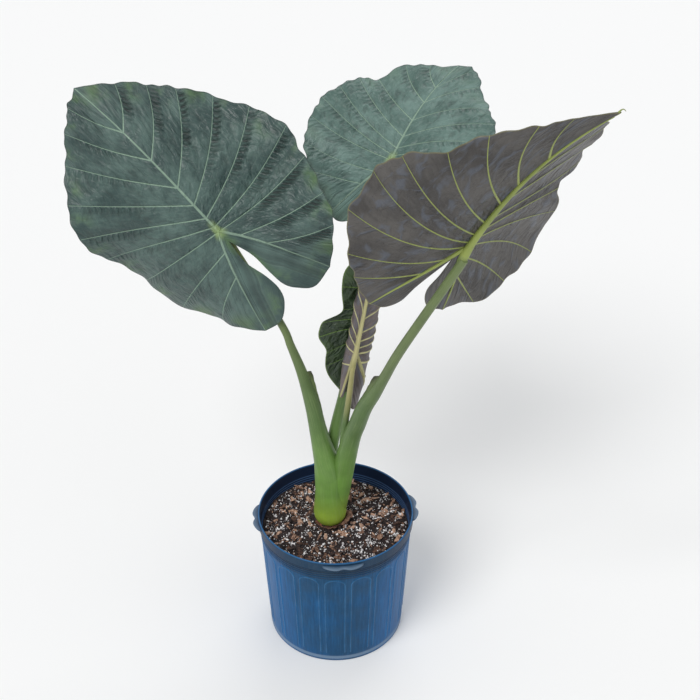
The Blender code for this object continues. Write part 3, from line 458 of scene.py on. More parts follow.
def new_material(name):
    """An empty node material, and add_node for its tree."""
    material = bpy.data.materials.new(name)
    material.use_nodes = True
    material.node_tree.nodes.clear()
    return material, partial(add_node, material.node_tree)


def close_material(material, inputs):
    """Ends a material with its shader, which gets the inputs, and its output."""
    tree = material.node_tree
    output = tree.nodes.new("ShaderNodeOutputMaterial")
    tree.links.new(add_node(tree, "BsdfPrincipled", inputs), output.inputs["Surface"])
    return material


def moulded_plastic(settings):
    """Injection-moulded polypropylene, used outdoors: an even satin blue, rubbed pale on the lugs at the
    rim and on the foot ring, dusty in patches, with faint upright rub marks. Painted shade darkens the
    front, the inner wall, the lines under the rim's rings and in part the rim band, which is also
    weathered, and painted highlights brighten the rim's top edge, the inner rings and in part the beads."""
    material, node = new_material("moulded polypropylene")
    place = node("TexCoord", out="Object")
    height, depth = (node("SeparateXYZ", (place,), axis) for axis in "ZY")
    bead, ring, scuffed, inside = (node("Attribute " + key, out="Fac")
                                   for key in ("bead", "ring", "scuffed", "inside"))
    # Dust gathers in patches of about 20 mm
    patches = node("TexNoise", {"Vector": place, "Scale": 45.0, "Detail": 6.0, "Roughness": 0.65})
    # Rub marks run up the wall, so the pattern is drawn out 20 times in z
    drawn_out = node("Mapping", {"Vector": place, "Scale": (320.0, 320.0, 16.0)})
    rubs = node("TexNoise", {"Vector": drawn_out, "Scale": 1.0, "Detail": 4.0, "Roughness": 0.6})
    # A few short bright scratches
    scratch_grid = node("Mapping", {"Vector": place, "Scale": (90.0, 90.0, 60.0)})
    scratches = node("TexNoise", {"Vector": scratch_grid, "Scale": 1.0, "Detail": 8.0, "Distortion": 2.5})
    dust, marks, scratch = (
        node("ValToRGB", (pattern,), stops=((start, 0.0), (end, shade)))
        for pattern, start, end, shade in ((patches, 0.46, 0.74, 0.2), (rubs, 0.52, 0.76, 0.2),
                                           (scratches, 0.69, 0.76, 0.6)))
    soiled = node("Math ADD", (dust, marks), use_clamp=True)
    wear = node("Math ADD", (soiled, scratch), use_clamp=True)
    # The rim band is darkened, partly weathered and partly painted shade under the lip, the dark lines
    # under its rings are painted shade, the foot ring is scuffed and the rim's top edge gets a painted
    # highlight
    band = node("MapRange SMOOTHSTEP", (height, PANEL_SHOULDER_Z + 0.008, BAND_Z, 0.0, 1.0))
    foot_top = node("MapRange SMOOTHSTEP", (height, FOOT_RING + 0.001, FOOT_RING - 0.002, 0.0, 0.72))
    foot = node("MapRange SMOOTHSTEP", (height, 0.0035, 0.0055, 0.1, foot_top))
    # Painted highlight: the rim's top edge is brightened
    edge = node("MapRange SMOOTHSTEP", (height, POT_HEIGHT - 0.0022, POT_HEIGHT - 0.0006, 0.0, 0.85))
    # Fine upright drag lines of the mould, about 3 mm apart, darken the panels
    lined = node("MapRange", (rubs, 0.35, 0.65, 0.55, 0.0))
    # Painted shade: the front, towards the camera, is darkened in soft patches
    facing = node("MapRange SMOOTHSTEP", (depth, -0.080, -0.120, 0.0, 1.0))
    broad = node("TexNoise", {"Vector": place, "Scale": 22.0, "Detail": 3.0})
    front_shade = node("Math MULTIPLY", (facing, node("MapRange", (broad, 0.30, 0.62, 0.35, 0.70))))
    # The beads are pale here and there: partly rubbed pale, partly a painted highlight on their raised
    # outlines
    bead_wear_and_highlight = node("Math MULTIPLY", (node("MapRange", (patches, 0.35, 0.65, 0.15, 0.85)), bead))
    bare = node("Math ADD", (foot, scuffed))
    worn = node("Math MULTIPLY_ADD", (wear, 0.22, bare), use_clamp=True)
    # The inner wall's colour is painted shade, and the rings on it, marked as beads, get painted highlights
    inside_shade_and_ring_highlights = node("Mix RGBA", {0: bead, 6: settings.inside_colour, 7: linear("#44618c")}, MIXED)
    colour = settings.wall_colour
    for share, over in ((band, settings.band_colour), (lined, linear("#0a3157")),
                        (front_shade, linear("#143a52")), (bead_wear_and_highlight, linear("#3577a8")),
                        # Painted shade: the ring attribute lays dark lines under the rings
                        (ring, linear("#0b1626")), (worn, settings.worn_colour), (inside, inside_shade_and_ring_highlights),
                        (edge, linear("#2b6496"))):
        colour = node("Mix RGBA", {0: share, 6: colour, 7: over}, MIXED)
    grain = node("TexNoise", {"Vector": place, "Scale": 900.0, "Detail": 2.0})
    bump = node("Bump", {"Height": grain, "Strength": 0.12, "Distance": 0.0004})
    rough = node("MapRange", (wear, 0.0, 1.0, 0.38, 0.66))
    return close_material(material, {"Base Color": colour, "Roughness": rough, "Normal": bump,
                                     "Specular IOR Level": 0.2})


def crumbly(name, colours, scale, rough=0.9, bump_mm=0.5, spread=0.0):
    """A dry, broken mineral or plant surface: three tones in speckles, rough, finely pitted.
    spread is how far each loose piece's own tone, its attribute, moves it between them."""
    material, node = new_material(name)
    speckle = node("TexNoise", {"Vector": node("TexCoord", out="Object"), "Scale": scale,
                                "Detail": 5.0, "Roughness": 0.7})
    moved = node("Math MULTIPLY_ADD", (node("Attribute tone", out="Fac"), spread, speckle))
    tones = node("ValToRGB", (moved,), stops=tuple(zip((0.36, 0.52, 0.70), colours)))
    bump = node("Bump", {"Height": speckle, "Strength": 0.6, "Distance": bump_mm * MM})
    return close_material(material, {"Base Color": tones, "Normal": bump, "Roughness": rough})


def stalk_skin(name, settings, upper, middle, rib):
    """Smooth, slightly waxy plant skin: yellow-green at the swollen foot, green up the sheath,
    olive near the blade and pale along the midrib, with fine streaks that run with the stalk."""
    material, node = new_material(name)
    along, turn, dry = (node("Attribute " + key, out="Fac") for key in ("along", "turn", "dry"))
    place = node("TexCoord", out="Object")
    height = node("SeparateXYZ", (place,), "Z")
    # Above the corm's top, the sheath's fresh green fades from 60 to 230 mm and the foot's
    # yellow-green from 4 to 75 mm. A reddish line lies where the foot meets the corm.
    fresh, foot, scar = (
        node("MapRange SMOOTHSTEP", (height, FOOT_Z + start, FOOT_Z + end, at_start, at_end))
        for start, end, at_start, at_end in ((0.06, 0.23, 0.9, 0.0), (0.004, 0.075, 1.0, 0.0),
                                             (0.0035, 0.0005, 0.0, 0.8)))
    # Fine streaks that are drawn out along the stalk, and broad dark blotches
    lines = node("CombineXYZ", (node("Math MULTIPLY", (turn, 11.0)), node("Math MULTIPLY", (along, 9.0))))
    streaks = node("TexNoise", {"Vector": lines, "Scale": 1.6, "Detail": 5.0, "Roughness": 0.6})
    pale = node("ValToRGB", (streaks,), stops=((0.50, 0.0), (0.76, 0.4)))
    blotch = node("TexNoise", {"Vector": place, "Scale": 40.0, "Detail": 3.0})
    dark = node("ValToRGB", (blotch,), stops=((0.34, 0.2), (0.60, 0.0)))
    colour = node("ValToRGB", (along,), stops=(
        (0.0, settings.stalk_colour), (0.30, settings.stalk_colour), (0.42, middle), (0.58, upper),
        (0.69, rib), (1.0, rib)))
    for share, over in ((fresh, linear("#719b44")), (foot, settings.foot_colour),
                        (scar, linear("#8a4f38")), (pale, linear("#9fb07a")),
                        (dark, linear("#34482c")), (dry, settings.dry_colour)):
        colour = node("Mix RGBA", {0: share, 6: colour, 7: over}, MIXED)
    bump = node("Bump", {"Height": streaks, "Strength": 0.3, "Distance": 0.0004})
    return close_material(material, {"Base Color": colour, "Normal": bump, "Roughness": 0.42,
                                     "Specular IOR Level": 0.4})


def blade_skin(name, settings, top, top_light, top_vein, edge, patches, puckers, under, under_light,
               under_vein):
    """Leaf skin with a thin wax bloom. The top face has fine pale veins, rows of puckers beside
    them and yellow-green patches near the margin, with painted shade in the puckers' folds and in the
    ripples' troughs. The underside has raised yellow-green veins and a blue-grey wash that is partly
    the wax bloom and partly painted sheen.
    patches is their strength, puckers is the strength of the rows on the first half and on the
    second, and edge colours the margin of the top face."""
    material, node = new_material(name)
    lane, out, span, rib, rim, is_under, reach, run, half = (
        node("Attribute " + key, out="Fac")
        for key in ("lane", "out", "span", "rib", "rim", "under", "reach", "run", "half"))
    place = node("TexCoord", out="Object")
    # Distance from the nearest vein in mm: the lanes' zigzag times the gap between two veins.
    # past_vein is how far past the last vein a point lies, towards the base.
    zigzag = node("Math PINGPONG", (lane, 0.5))
    off_vein = node("Math MULTIPLY", (zigzag, span))
    past_vein = node("Math MULTIPLY", (node("Math FRACT", (lane,)), span))
    # 1 on a vein and 0 off it, above and below. The half widths in mm taper outwards.
    masks = []
    for vein_width, rib_width in (((1.5, 0.6), (2.7, 0.9)), ((2.0, 0.6), (4.0, 1.0))):
        lines = []
        for away, way, width, full in ((off_vein, out, vein_width, 0.6), (rib, reach, rib_width, 0.4)):
            share = node("Math DIVIDE", (away, node("MapRange", (way, 0.0, 1.0, *width))))
            inwards = node("Math SUBTRACT", (1.0, share), use_clamp=True)
            lines.append(node("MapRange SMOOTHSTEP", (inwards, 0.0, full, 0.0, 1.0)))
        masks.append(node("Math MAXIMUM", lines))
    vein_above, vein_below = masks
    # Places counted across the lanes and along the veins: for the fine cross net, 9 mm apart, for
    # the ripples across the gap between two veins, and for the streaks out from the veins
    grids = []
    for across, slant, along in ((3.0, 0.0, 0.11), (2.1, -0.02, 0.072), (7.0, 0.0, 0.03)):
        straight = node("Math MULTIPLY", (run, along))
        grids.append(node("CombineXYZ", (node("Math MULTIPLY", (lane, across)),
                                         node("Math MULTIPLY_ADD", (off_vein, slant, straight)))))
    net_grid, ripple_grid, streak_grid = grids
    net = node("TexVoronoi DISTANCE_TO_EDGE", {"Vector": net_grid, "Scale": 1.0, "Randomness": 0.8},
               "Distance")
    ripples = node("TexNoise", {"Vector": ripple_grid, "Scale": 1.0, "Detail": 2.0,
                                "Roughness": 0.45, "Distortion": 0.7})
    streaks = node("TexNoise", {"Vector": streak_grid, "Scale": 1.3, "Detail": 5.0, "Roughness": 0.65})
    # Broad lights and darks of about 50 mm
    clouds = node("TexNoise", {"Vector": place, "Scale": 20.0, "Detail": 5.0, "Roughness": 0.55})
    light = node("Math MULTIPLY_ADD", (streaks, 0.3, node("Math MULTIPLY", (clouds, 0.75))))
    # Puckers: a row of short slanting folds 9 mm apart on the base side of each vein
    uneven = node("TexNoise", {"Vector": place, "Scale": 40.0, "Detail": 2.0})
    slanted = node("Math MULTIPLY_ADD", (past_vein, -0.36, node("Math MULTIPLY", (run, 0.70))))
    sine = node("Math SINE", (node("Math MULTIPLY_ADD", (uneven, 6.0, slanted)),))
    folds = node("Math POWER", (node("Math MULTIPLY_ADD", (sine, 0.5, 0.5)), 1.6))
    scattering = node("TexNoise", {"Vector": place, "Scale": 26.0})
    row = node("MapRange", (half, 0.0, 1.0, *puckers))
    for rise in ((past_vein, 0.8, 3.4, 0.0, 1.0), (past_vein, 7.0, 17.0, 1.0, 0.0),
                 (out, 0.26, 0.50, 0.0, 1.0), (rim, 2.0, 14.0, 0.0, 1.0),
                 (scattering, 0.36, 0.56, 0.35, 1.0)):
        row = node("Math MULTIPLY", (row, node("MapRange SMOOTHSTEP", rise)))
    # Smooth rises and falls: a value, two places on it, and the strength at each
    strong = {key: node("MapRange SMOOTHSTEP", rise) for key, rise in {
        "net": (net, 0.0, 0.07, 1.0, 0.0),
        "light": (light, 0.38, 0.68, 0.0, 1.0),
        "between veins": (zigzag, 0.10, 0.42, 0.0, 1.0),
        "near rim": (rim, 4.0, 46.0, 1.0, 0.0),
        "in patch": (clouds, 0.42, 0.60, 0.0, 1.0),
        "in fold": (folds, 0.0, 0.35, 1.0, 0.0),
        "dip": (ripples, 0.30, 0.50, 0.40, 0.0),
        "outer part": (out, 0.1, 0.4, 0.2, 1.0),
        "at junction": (reach, 0.0, 0.09, 1.0, 0.0),
        "near rib": (rib, 3.0, 9.0, 0.8, 0.0),
        "bloom_and_sheen": (ripples, 0.50, 0.68, 0.0, 0.5),
        "very rim": (rim, 0.4, 2.4, 0.6, 0.0)}.items()}
    # Shares of the colours that lie over one another. Patches sit in the outer part, midway
    # between two veins, and the eye, where all the veins meet, is yellow-green.
    middle = node("Math MULTIPLY", (strong["between veins"], strong["near rim"]))
    patchy = node("Math MULTIPLY", (middle, node("Math MULTIPLY", (strong["in patch"], patches))),
                  use_clamp=True)
    # Painted shade: the folds of the puckers are darkened
    pucker_fold_shade = node("Math MULTIPLY", (strong["in fold"], node("Math MULTIPLY", (row, 0.75))), use_clamp=True)
    # dip is painted shade: the troughs of the ripples are darkened over the outer part
    dip, eye, net_share, above_share, below_share = (
        node("Math MULTIPLY", pair) for pair in (
            (strong["dip"], strong["outer part"]), (strong["at junction"], strong["near rib"]),
            (strong["net"], 0.05), (vein_above, 0.8), (vein_below, 0.95)))
    sides = []
    for colour, coats in (
            (top, ((strong["light"], top_light), (patchy, settings.margin_colour),
                   (pucker_fold_shade, linear("#1b2a28")), (dip, linear("#22322f")), (net_share, top_vein),
                   (above_share, top_vein), (eye, linear("#93ab6c")), (strong["very rim"], edge))),
            # The blue-grey wash on the underside is partly the wax bloom and partly a painted sheen
            (under, ((strong["light"], under_light), (strong["bloom_and_sheen"], linear("#565e6c")),
                     (below_share, under_vein), (strong["very rim"], linear("#7d7850"))))):
        for share, over in coats:
            colour = node("Mix RGBA", {0: share, 6: colour, 7: over}, MIXED)
        sides.append(colour)
    colour = node("Mix RGBA", {0: is_under, 6: sides[0], 7: sides[1]}, MIXED)
    # Height: ripples and folds stand up, and the net and the veins are sunk
    relief = node("Math MULTIPLY", (node("Math MULTIPLY", (folds, row)), 2.9))
    for pattern, rise in ((ripples, 2.6), (strong["net"], -0.10), (vein_above, -0.35)):
        relief = node("Math MULTIPLY_ADD", (pattern, rise, relief))
    bump = node("Bump", {"Height": relief, "Strength": 0.75, "Distance": settings.pucker_depth})
    rough = node("MapRange", (clouds, 0.3, 0.7, 0.34, 0.54))
    return close_material(material, {"Base Color": colour, "Normal": bump, "Roughness": rough,
                                     "Specular IOR Level": 0.5})


# Pot

def body_radius(z):
    """Outer radius of the tapering body: a straight line from foot to top."""
    share = (z - FOOT_RING) / (BAND_Z - FOOT_RING)
    return BODY_FOOT_RADIUS + (BODY_TOP_RADIUS - BODY_FOOT_RADIUS) * share


def panel_distance(angle, z):
    """Distance in metres from the nearest arched panel outline. Below its shoulders the outline
    is two upright lines, and above them half an ellipse, whose distance is its implicit value
    over the length of that value's slope."""
    pitch = 2 * math.pi / PANELS
    off = (angle + math.pi / 2 + pitch / 2) % pitch - pitch / 2
    radius = body_radius(z)
    across = off * radius
    half = PANEL_HALF_ANGLE * radius
    upright = np.abs(np.abs(across) - half)
    rise = np.maximum(z - PANEL_SHOULDER_Z, 0)
    value = (across / half) ** 2 + (rise / PANEL_CROWN) ** 2 - 1
    slope = np.hypot(2 * across / half ** 2, 2 * rise / PANEL_CROWN ** 2) + 1e-9
    return np.where(z > PANEL_SHOULDER_Z, np.abs(value) / slope, upright)


def pot_columns():
    """Angles round the pot: even, but closer together at the sides of each panel."""
    pitch = 2 * math.pi / PANELS
    edge = PANEL_HALF_ANGLE
    fine = np.array([-0.0115, -0.0075, -0.0042, 0.0, 0.0042, 0.0075, 0.0115])
    middle = np.linspace(-edge + 0.022, edge - 0.022, 13)
    own = np.concatenate([[-pitch / 2], -edge + fine, middle, edge + fine])
    return (-math.pi / 2 + (np.arange(PANELS) * pitch)[:, None] + own[None]).ravel()


def ring_relief(z, drop=0.0):
    """Thin rings under the rim band, each a narrow bell in z. drop shifts them down together."""
    centres = BAND_Z - RING_DROP - drop - RING_PITCH * np.arange(RINGS)
    return np.exp(-((z[..., None] - centres) / RING_WIDTH) ** 2).sum(-1)


def pot_wall(settings):
    """The wall as a closed ring without its floor. Outside, the radius is the straight taper plus
    panel beads and rings. At the rim it turns over a rounded lip, and it goes down the inside to
    the floor. Returns points, the grid's shape and attributes."""
    angle = pot_columns()
    foot_z, shoulder = PANEL_FOOT_Z, PANEL_SHOULDER_Z
    z_body = np.unique(np.concatenate([
        np.linspace(start, end, count) for start, end, count in (
            (FOOT_RING, shoulder - 0.004, 22), (foot_z - 0.002, foot_z + 0.002, 5),
            (shoulder - 0.004, shoulder + 0.016, 30), (shoulder + 0.017, BAND_Z - 0.0006, 34))]))
    a, z = np.meshgrid(angle, z_body, indexing="xy")
    fade = smooth_step(foot_z - 0.002, foot_z + 0.002, z) * (1 - smooth_step(0.201, 0.203, z))
    bead = np.exp(-(panel_distance(a, z) / BEAD_WIDTH) ** 2) * fade
    radius = body_radius(z) + settings.bead_height * bead + 0.0008 * ring_relief(z)
    foot = [(FLOOR_RADIUS, 0.0), (BASE_RADIUS, 0.0), (BASE_RADIUS + 0.0009, 0.0008),
            (BASE_RADIUS + 0.0016, FOOT_RING - 0.003), (BASE_RADIUS + 0.0012, FOOT_RING - 0.001)]
    lip = [(RIM_RADIUS - inwards * MM, POT_HEIGHT - below * MM) for inwards, below in LIP]
    z_inner = np.concatenate([np.linspace(BAND_Z - 0.001, SOIL_EDGE_Z - 0.006, 34),
                              np.linspace(SOIL_EDGE_Z - 0.012, FLOOR_THICKNESS, 6)])
    r_inner = body_radius(z_inner) - WALL - 0.0007 * ring_relief(z_inner)
    inner = [*zip(r_inner, z_inner), (FLOOR_RADIUS, FLOOR_THICKNESS)]

    def rings(profile):
        """(radius, height) pairs repeated round the pot."""
        return [np.repeat(line[:, None], len(angle), 1) for line in np.array(profile).T]

    r, h = (np.vstack(part) for part in zip(rings(foot), (radius, z), rings(lip), rings(inner)))
    points = np.stack([r * np.cos(angle), r * np.sin(angle), h], axis=-1).reshape(-1, 3)
    on = {key: np.zeros(r.shape) for key in ("inside", "bead", "ring", "scuffed")}
    on["inside"][-(len(inner) + 4):] = 1.0
    body = slice(len(foot), len(foot) + len(z_body))
    on["bead"][body] = bead
    # Painted shade: a dark line 2.3 mm under each ring
    on["ring"][body] = 0.8 * ring_relief(z, 0.0023)
    # Painted highlights: the inner rings are marked as beads, so that they are lightened
    on["bead"][-len(inner):-1] = ring_relief(z_inner)[:, None]
    return points, r.shape, {key: values.ravel() for key, values in on.items()}


def pot_lug(centre):
    """One lug: its reach is half an ellipse with a dip in the middle, and its section is a
    rounded bar whose outer end is half a circle."""
    share = np.linspace(-1, 1, 61)
    reach = np.sqrt(1 - share ** 2) * (1 - LUG_DIP * np.exp(-(share / 0.22) ** 2))
    half = LUG_THICKNESS / 2
    turn = np.linspace(math.pi / 2, -math.pi / 2, 9)
    outward = np.concatenate([[-0.0012], np.cos(turn), [-0.0012]])
    upward = np.concatenate([[half], half * np.sin(turn), [-half]])
    round_end = np.concatenate([[0], np.ones(9), [0]])
    inner = RIM_RADIUS - 0.0022
    body = np.maximum(LUG_REACH * reach, 0.0002)
    straight = np.maximum(body - half, 0.0)[:, None] * round_end
    curved = np.minimum(body, half)[:, None] * np.where(round_end > 0, outward, 0.0)
    radius = inner + straight + curved + 0.0010 * round_end
    angle = (centre + share * LUG_HALF_ANGLE)[:, None]
    lift = 0.0006 * np.sin(math.pi * np.clip(np.abs(share), 0, 1))[:, None] * round_end
    points = np.stack([radius * np.cos(angle), radius * np.sin(angle), LUG_Z + upward + lift], axis=-1)
    rows, columns = radius.shape
    faces = grid_faces(rows, columns, close_columns=True)[:, ::-1]
    ends = np.array([np.arange(columns), np.arange(columns)[::-1] + (rows - 1) * columns])
    blank = np.zeros(rows * columns)
    scuffed = np.repeat(smooth_step(0.0, 0.7, reach)[:, None], columns, 1) * 0.55 * round_end
    return points.reshape(-1, 3), [faces, ends], {"inside": blank, "bead": blank, "ring": blank,
                                                  "scuffed": scuffed.ravel()}


def pot_floor():
    """The floor as a flat curve with its drain holes, given its thickness."""
    curve = bpy.data.curves.new("floor outline", "CURVE")
    curve.dimensions = "2D"
    curve.fill_mode = "BOTH"
    curve.extrude = FLOOR_THICKNESS / 2
    rings = [(0.0, 0.0, FLOOR_RADIUS)]
    for k in range(DRAIN_HOLES):
        angle = (k + 0.5) * 2 * math.pi / DRAIN_HOLES
        rings.append((DRAIN_CIRCLE * math.cos(angle), DRAIN_CIRCLE * math.sin(angle), DRAIN_RADIUS))
    for x, y, radius in rings:
        turn = np.linspace(0, 2 * math.pi, 96 if radius > 0.05 else 28, endpoint=False)
        spline = curve.splines.new("POLY")
        spline.points.add(len(turn) - 1)
        flat = np.column_stack([x + radius * np.cos(turn), y + radius * np.sin(turn), 0 * turn, 0 * turn + 1])
        spline.points.foreach_set("co", flat.ravel())
        spline.use_cyclic_u = True
    item = bpy.data.objects.new("floor outline", curve)
    bpy.context.scene.collection.objects.link(item)
    bpy.context.view_layer.update()
    mesh = bpy.data.meshes.new_from_object(item.evaluated_get(bpy.context.evaluated_depsgraph_get()))
    bpy.data.objects.remove(item, do_unlink=True)
    co = np.empty(len(mesh.vertices) * 3, np.float32)
    mesh.vertices.foreach_get("co", co)
    co = co.reshape(-1, 3)
    co[:, 2] += FLOOR_THICKNESS / 2
    mesh.vertices.foreach_set("co", co.ravel())
    made = bpy.data.objects.new("pot_floor", mesh)
    bpy.context.scene.collection.objects.link(made)
    return made


class TARO_OT_dress_pot(bpy.types.Operator):
    """Replace the plain pot with the finely moulded one"""
    bl_idname = "taro.dress_pot"
    bl_label = "Dress the pot"

    def execute(self, context):
        settings = context.scene.taro_pot
        plastic = moulded_plastic(settings)
        points, shape, attributes = pot_wall(settings)
        faces = grid_faces(*shape, close_columns=True, close_rows=True)
        wall = mesh_object("pot_wall", points, [faces], attributes, sharp=38)
        finish_piece(wall, plastic, "pot", "pot")
        finish_piece(pot_floor(), plastic, "pot")
        lugs = [pot_lug(-math.pi / 2 + LUG_TURN + k * 2 * math.pi / LUGS) for k in range(LUGS)]
        points, face_sets, attributes = joined(lugs)
        made = mesh_object("pot_lugs", points, face_sets, attributes, sharp=38)
        finish_piece(made, plastic, "pot")
        return {"FINISHED"}


# Soil

def soil_height(x, y):
    """Height of the soil: a low mound round the plant, a slope, and crossed waves for lumps."""
    distance = np.hypot(x - FOOT_XY[0], y - FOOT_XY[1])
    mound = SOIL_MOUND * np.clip(1 - distance / 0.11, 0, 1)
    slope = -0.0035 * np.clip((x + y) / 0.16, 0, 1)
    lumps = (np.sin(190 * x + 1.3) * np.sin(170 * y + 0.4) + 0.7 * np.sin(330 * x - 210 * y)
             + 0.5 * np.sin(120 * x + 410 * y + 2.0))
    return SOIL_EDGE_Z + mound + slope + 0.00096 * lumps


def soil_edge(z):
    """Radius of the soil at height z: the wall's inner radius less a small gap."""
    return body_radius(z) - WALL - 0.0012


def soil_surface(rng):
    """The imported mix: a disc of rings with small random pits, a side wall and a flat bottom."""
    turn = np.linspace(0, 2 * math.pi, 260, endpoint=False)
    radii = np.linspace(0.003, soil_edge(SOIL_EDGE_Z), 84)
    r, a = np.meshgrid(radii, turn, indexing="ij")
    x, y = r * np.cos(a), r * np.sin(a)
    z = soil_height(x, y) + rng.normal(0, 0.0005, r.shape) * smooth_step(0.004, 0.02, r)
    z = np.minimum(z, SOIL_TOP_Z)
    low = np.array([(soil_edge(0.1), 0.1), (soil_edge(0.005), 0.0044), (0.0, 0.0044)])
    lower = [np.stack([rr * np.cos(turn), rr * np.sin(turn), np.full(len(turn), zz)], -1) for rr, zz in low]
    top = np.full((1, len(turn), 3), (0.0, 0.0, float(soil_height(0.0, 0.0))))
    grid = np.concatenate([top, np.stack([x, y, z], -1), np.array(lower)])
    return grid.reshape(-1, 3), [grid_faces(grid.shape[0], len(turn), close_columns=True)[:, ::-1]]


def scattered(rng, count, clear, clumps=0.0):
    """Places spread over the soil's disc, outside a circle round the foot. clumps is how much
    they gather where a sum of crossed waves is high."""
    radius = np.sqrt(rng.uniform(0, 1, 6 * count)) * SCATTER_RADIUS
    angle = rng.uniform(0, 2 * math.pi, 6 * count)
    x, y = radius * np.cos(angle), radius * np.sin(angle)
    waves = np.sin(95 * x + 2.0) * np.sin(120 * y + 0.5) + 0.8 * np.sin(210 * x - 160 * y + 1.0)
    kept = rng.uniform(0, 1, len(x)) < 1 - clumps * smooth_step(0.6, -0.6, waves)
    free = kept & (np.hypot(x - FOOT_XY[0], y - FOOT_XY[1]) > clear)
    return x[free][:count], y[free][:count]


def turned_copies(rng, shape, sizes, x, y, lift, tilt):
    """Copies of one small shape: scaled by sizes, leaned by up to tilt, turned about z, and set
    on the soil. Each corner is also nudged, so that no two copies are alike."""
    count = len(x)
    corners = shape[None] * sizes[:, None, :] * (1 + rng.uniform(-0.28, 0.28, (count, len(shape), 3)))
    lean, roll = rng.uniform(-tilt, tilt, (2, count, 1))
    y1 = corners[..., 1] * np.cos(lean) - corners[..., 2] * np.sin(lean)
    z1 = corners[..., 1] * np.sin(lean) + corners[..., 2] * np.cos(lean)
    x2 = corners[..., 0] * np.cos(roll) + z1 * np.sin(roll)
    z2 = -corners[..., 0] * np.sin(roll) + z1 * np.cos(roll)
    spin = rng.uniform(0, 2 * math.pi, (count, 1))
    px = x2 * np.cos(spin) - y1 * np.sin(spin) + x[:, None]
    py = x2 * np.sin(spin) + y1 * np.cos(spin) + y[:, None]
    pz = z2 + (soil_height(x, y) + lift)[:, None]
    far = np.hypot(px, py)
    pull = np.minimum(1, soil_edge(SOIL_EDGE_Z) / np.maximum(far, 1e-9))
    points = np.stack([px * pull, py * pull, np.minimum(pz, POT_HEIGHT - 0.012)], -1)
    return points.reshape(-1, 3)


def block_shape():
    """A block of 3 by 2 by 2 points for split bark: 1 long, 1.12 wide and thick in its middle, and
    0.84 wide and 0.8 thick at its ends, before it is scaled."""
    x = np.array([-0.5, 0.0, 0.5])
    points = np.array([(i, j * (0.42 if abs(i) > 0.4 else 0.56), k * (0.4 if abs(i) > 0.4 else 0.56))
                       for i in x for j in (-1, 1) for k in (-1, 1)])
    quads = [(0, 1, 3, 2), (8, 10, 11, 9)]
    for s in (0, 4):
        quads += [(s, s + 4, s + 5, s + 1), (s + 2, s + 3, s + 7, s + 6), (s, s + 2, s + 6, s + 4),
                  (s + 1, s + 5, s + 7, s + 3)]
    return points, np.array(quads)


def ball_shape():
    """An icosahedron, for grains and crumbs."""
    g = (1 + 5 ** 0.5) / 2
    points = np.array([(-1, g, 0), (1, g, 0), (-1, -g, 0), (1, -g, 0), (0, -1, g), (0, 1, g),
                       (0, -1, -g), (0, 1, -g), (g, 0, -1), (g, 0, 1), (-g, 0, -1), (-g, 0, 1)], float)
    points /= np.linalg.norm(points[0])
    faces = np.array([(0, 11, 5), (0, 5, 1), (0, 1, 7), (0, 7, 10), (0, 10, 11), (1, 5, 9), (5, 11, 4),
                      (11, 10, 2), (10, 7, 6), (7, 1, 8), (3, 9, 4), (3, 4, 2), (3, 2, 6), (3, 6, 8),
                      (3, 8, 9), (4, 9, 5), (2, 4, 11), (6, 2, 10), (8, 6, 7), (9, 8, 1)])
    return points, faces


def loose_pieces(name, rng, shape, sizes, x, y, lift, tilt, material):
    """One object of many loose pieces, each with a tone of its own."""
    corners, faces = shape
    points = turned_copies(rng, corners, sizes, x, y, lift, tilt)
    tone = np.repeat(rng.uniform(-0.5, 0.5, len(x)), len(corners))
    copies = faces[None] + (np.arange(len(x)) * len(corners))[:, None, None]
    copies = copies.reshape(-1, faces.shape[1])
    finish_piece(mesh_object(name, points, [copies], {"tone": tone}, sharp=28), material, "soil")


class TARO_OT_fill_soil(bpy.types.Operator):
    """Replace the plain soil with a mix of peat, bark chips and perlite"""
    bl_idname = "taro.fill_soil"
    bl_label = "Fill the soil"

    def execute(self, context):
        settings = context.scene.taro_soil
        rng = np.random.default_rng(7)
        # Damp peat: near black, dull
        peat = crumbly("damp peat", (settings.peat_colour, linear("#2c2323"), linear("#4a3c39")), 420.0,
                       spread=0.14)
        # Composted pine bark: red-brown to grey-brown fibres, no two chips alike
        bark = crumbly("composted bark", (linear("#2a1f1f"), settings.bark_colour, linear("#c4a08a")),
                       260.0, spread=0.42)
        # Expanded perlite: white, chalky, dusted with peat
        perlite = crumbly("expanded perlite", (linear("#9c9496"), settings.perlite_colour,
                                               linear("#ffffff")), 500.0, 0.8, spread=0.2)
        points, face_sets = soil_surface(rng)
        tone = {"tone": rng.uniform(-0.5, 0.5, len(points))}
        finish_piece(mesh_object("soil_mix", points, face_sets, tone), peat, "soil", "soil")
        block, ball = block_shape(), ball_shape()
        x, y = scattered(rng, settings.bark_count, 0.030, 0.4)
        long = 0.0032 + 0.0165 * rng.uniform(0, 1, len(x)) ** 2.8
        sizes = np.column_stack([long, long * rng.uniform(0.2, 0.55, len(x)),
                                 rng.uniform(0.0010, 0.0034, len(x))])
        loose_pieces("soil_bark", rng, block, sizes, x, y, 0.0016, 0.8, bark)
        for name, count, clear, clumps, least, more, power, thin, thick, lift, skin in (
                ("soil_perlite", settings.perlite_count, 0.030, 0.8, 0.0006, 0.0016, 3.2, 0.7, 1.2,
                 0.0014, perlite),
                ("soil_crumbs", settings.crumb_count, 0.028, 0.0, 0.0007, 0.0018, 2.0, 0.6, 1.4,
                 0.0006, peat)):
            x, y = scattered(rng, count, clear, clumps)
            size = least + more * rng.uniform(0, 1, len(x)) ** power
            sizes = size[:, None] * rng.uniform(thin, thick, (len(x), 3))
            loose_pieces(name, rng, ball, sizes, x, y, lift, 1.0, skin)
        return {"FINISHED"}


# Corm and husk

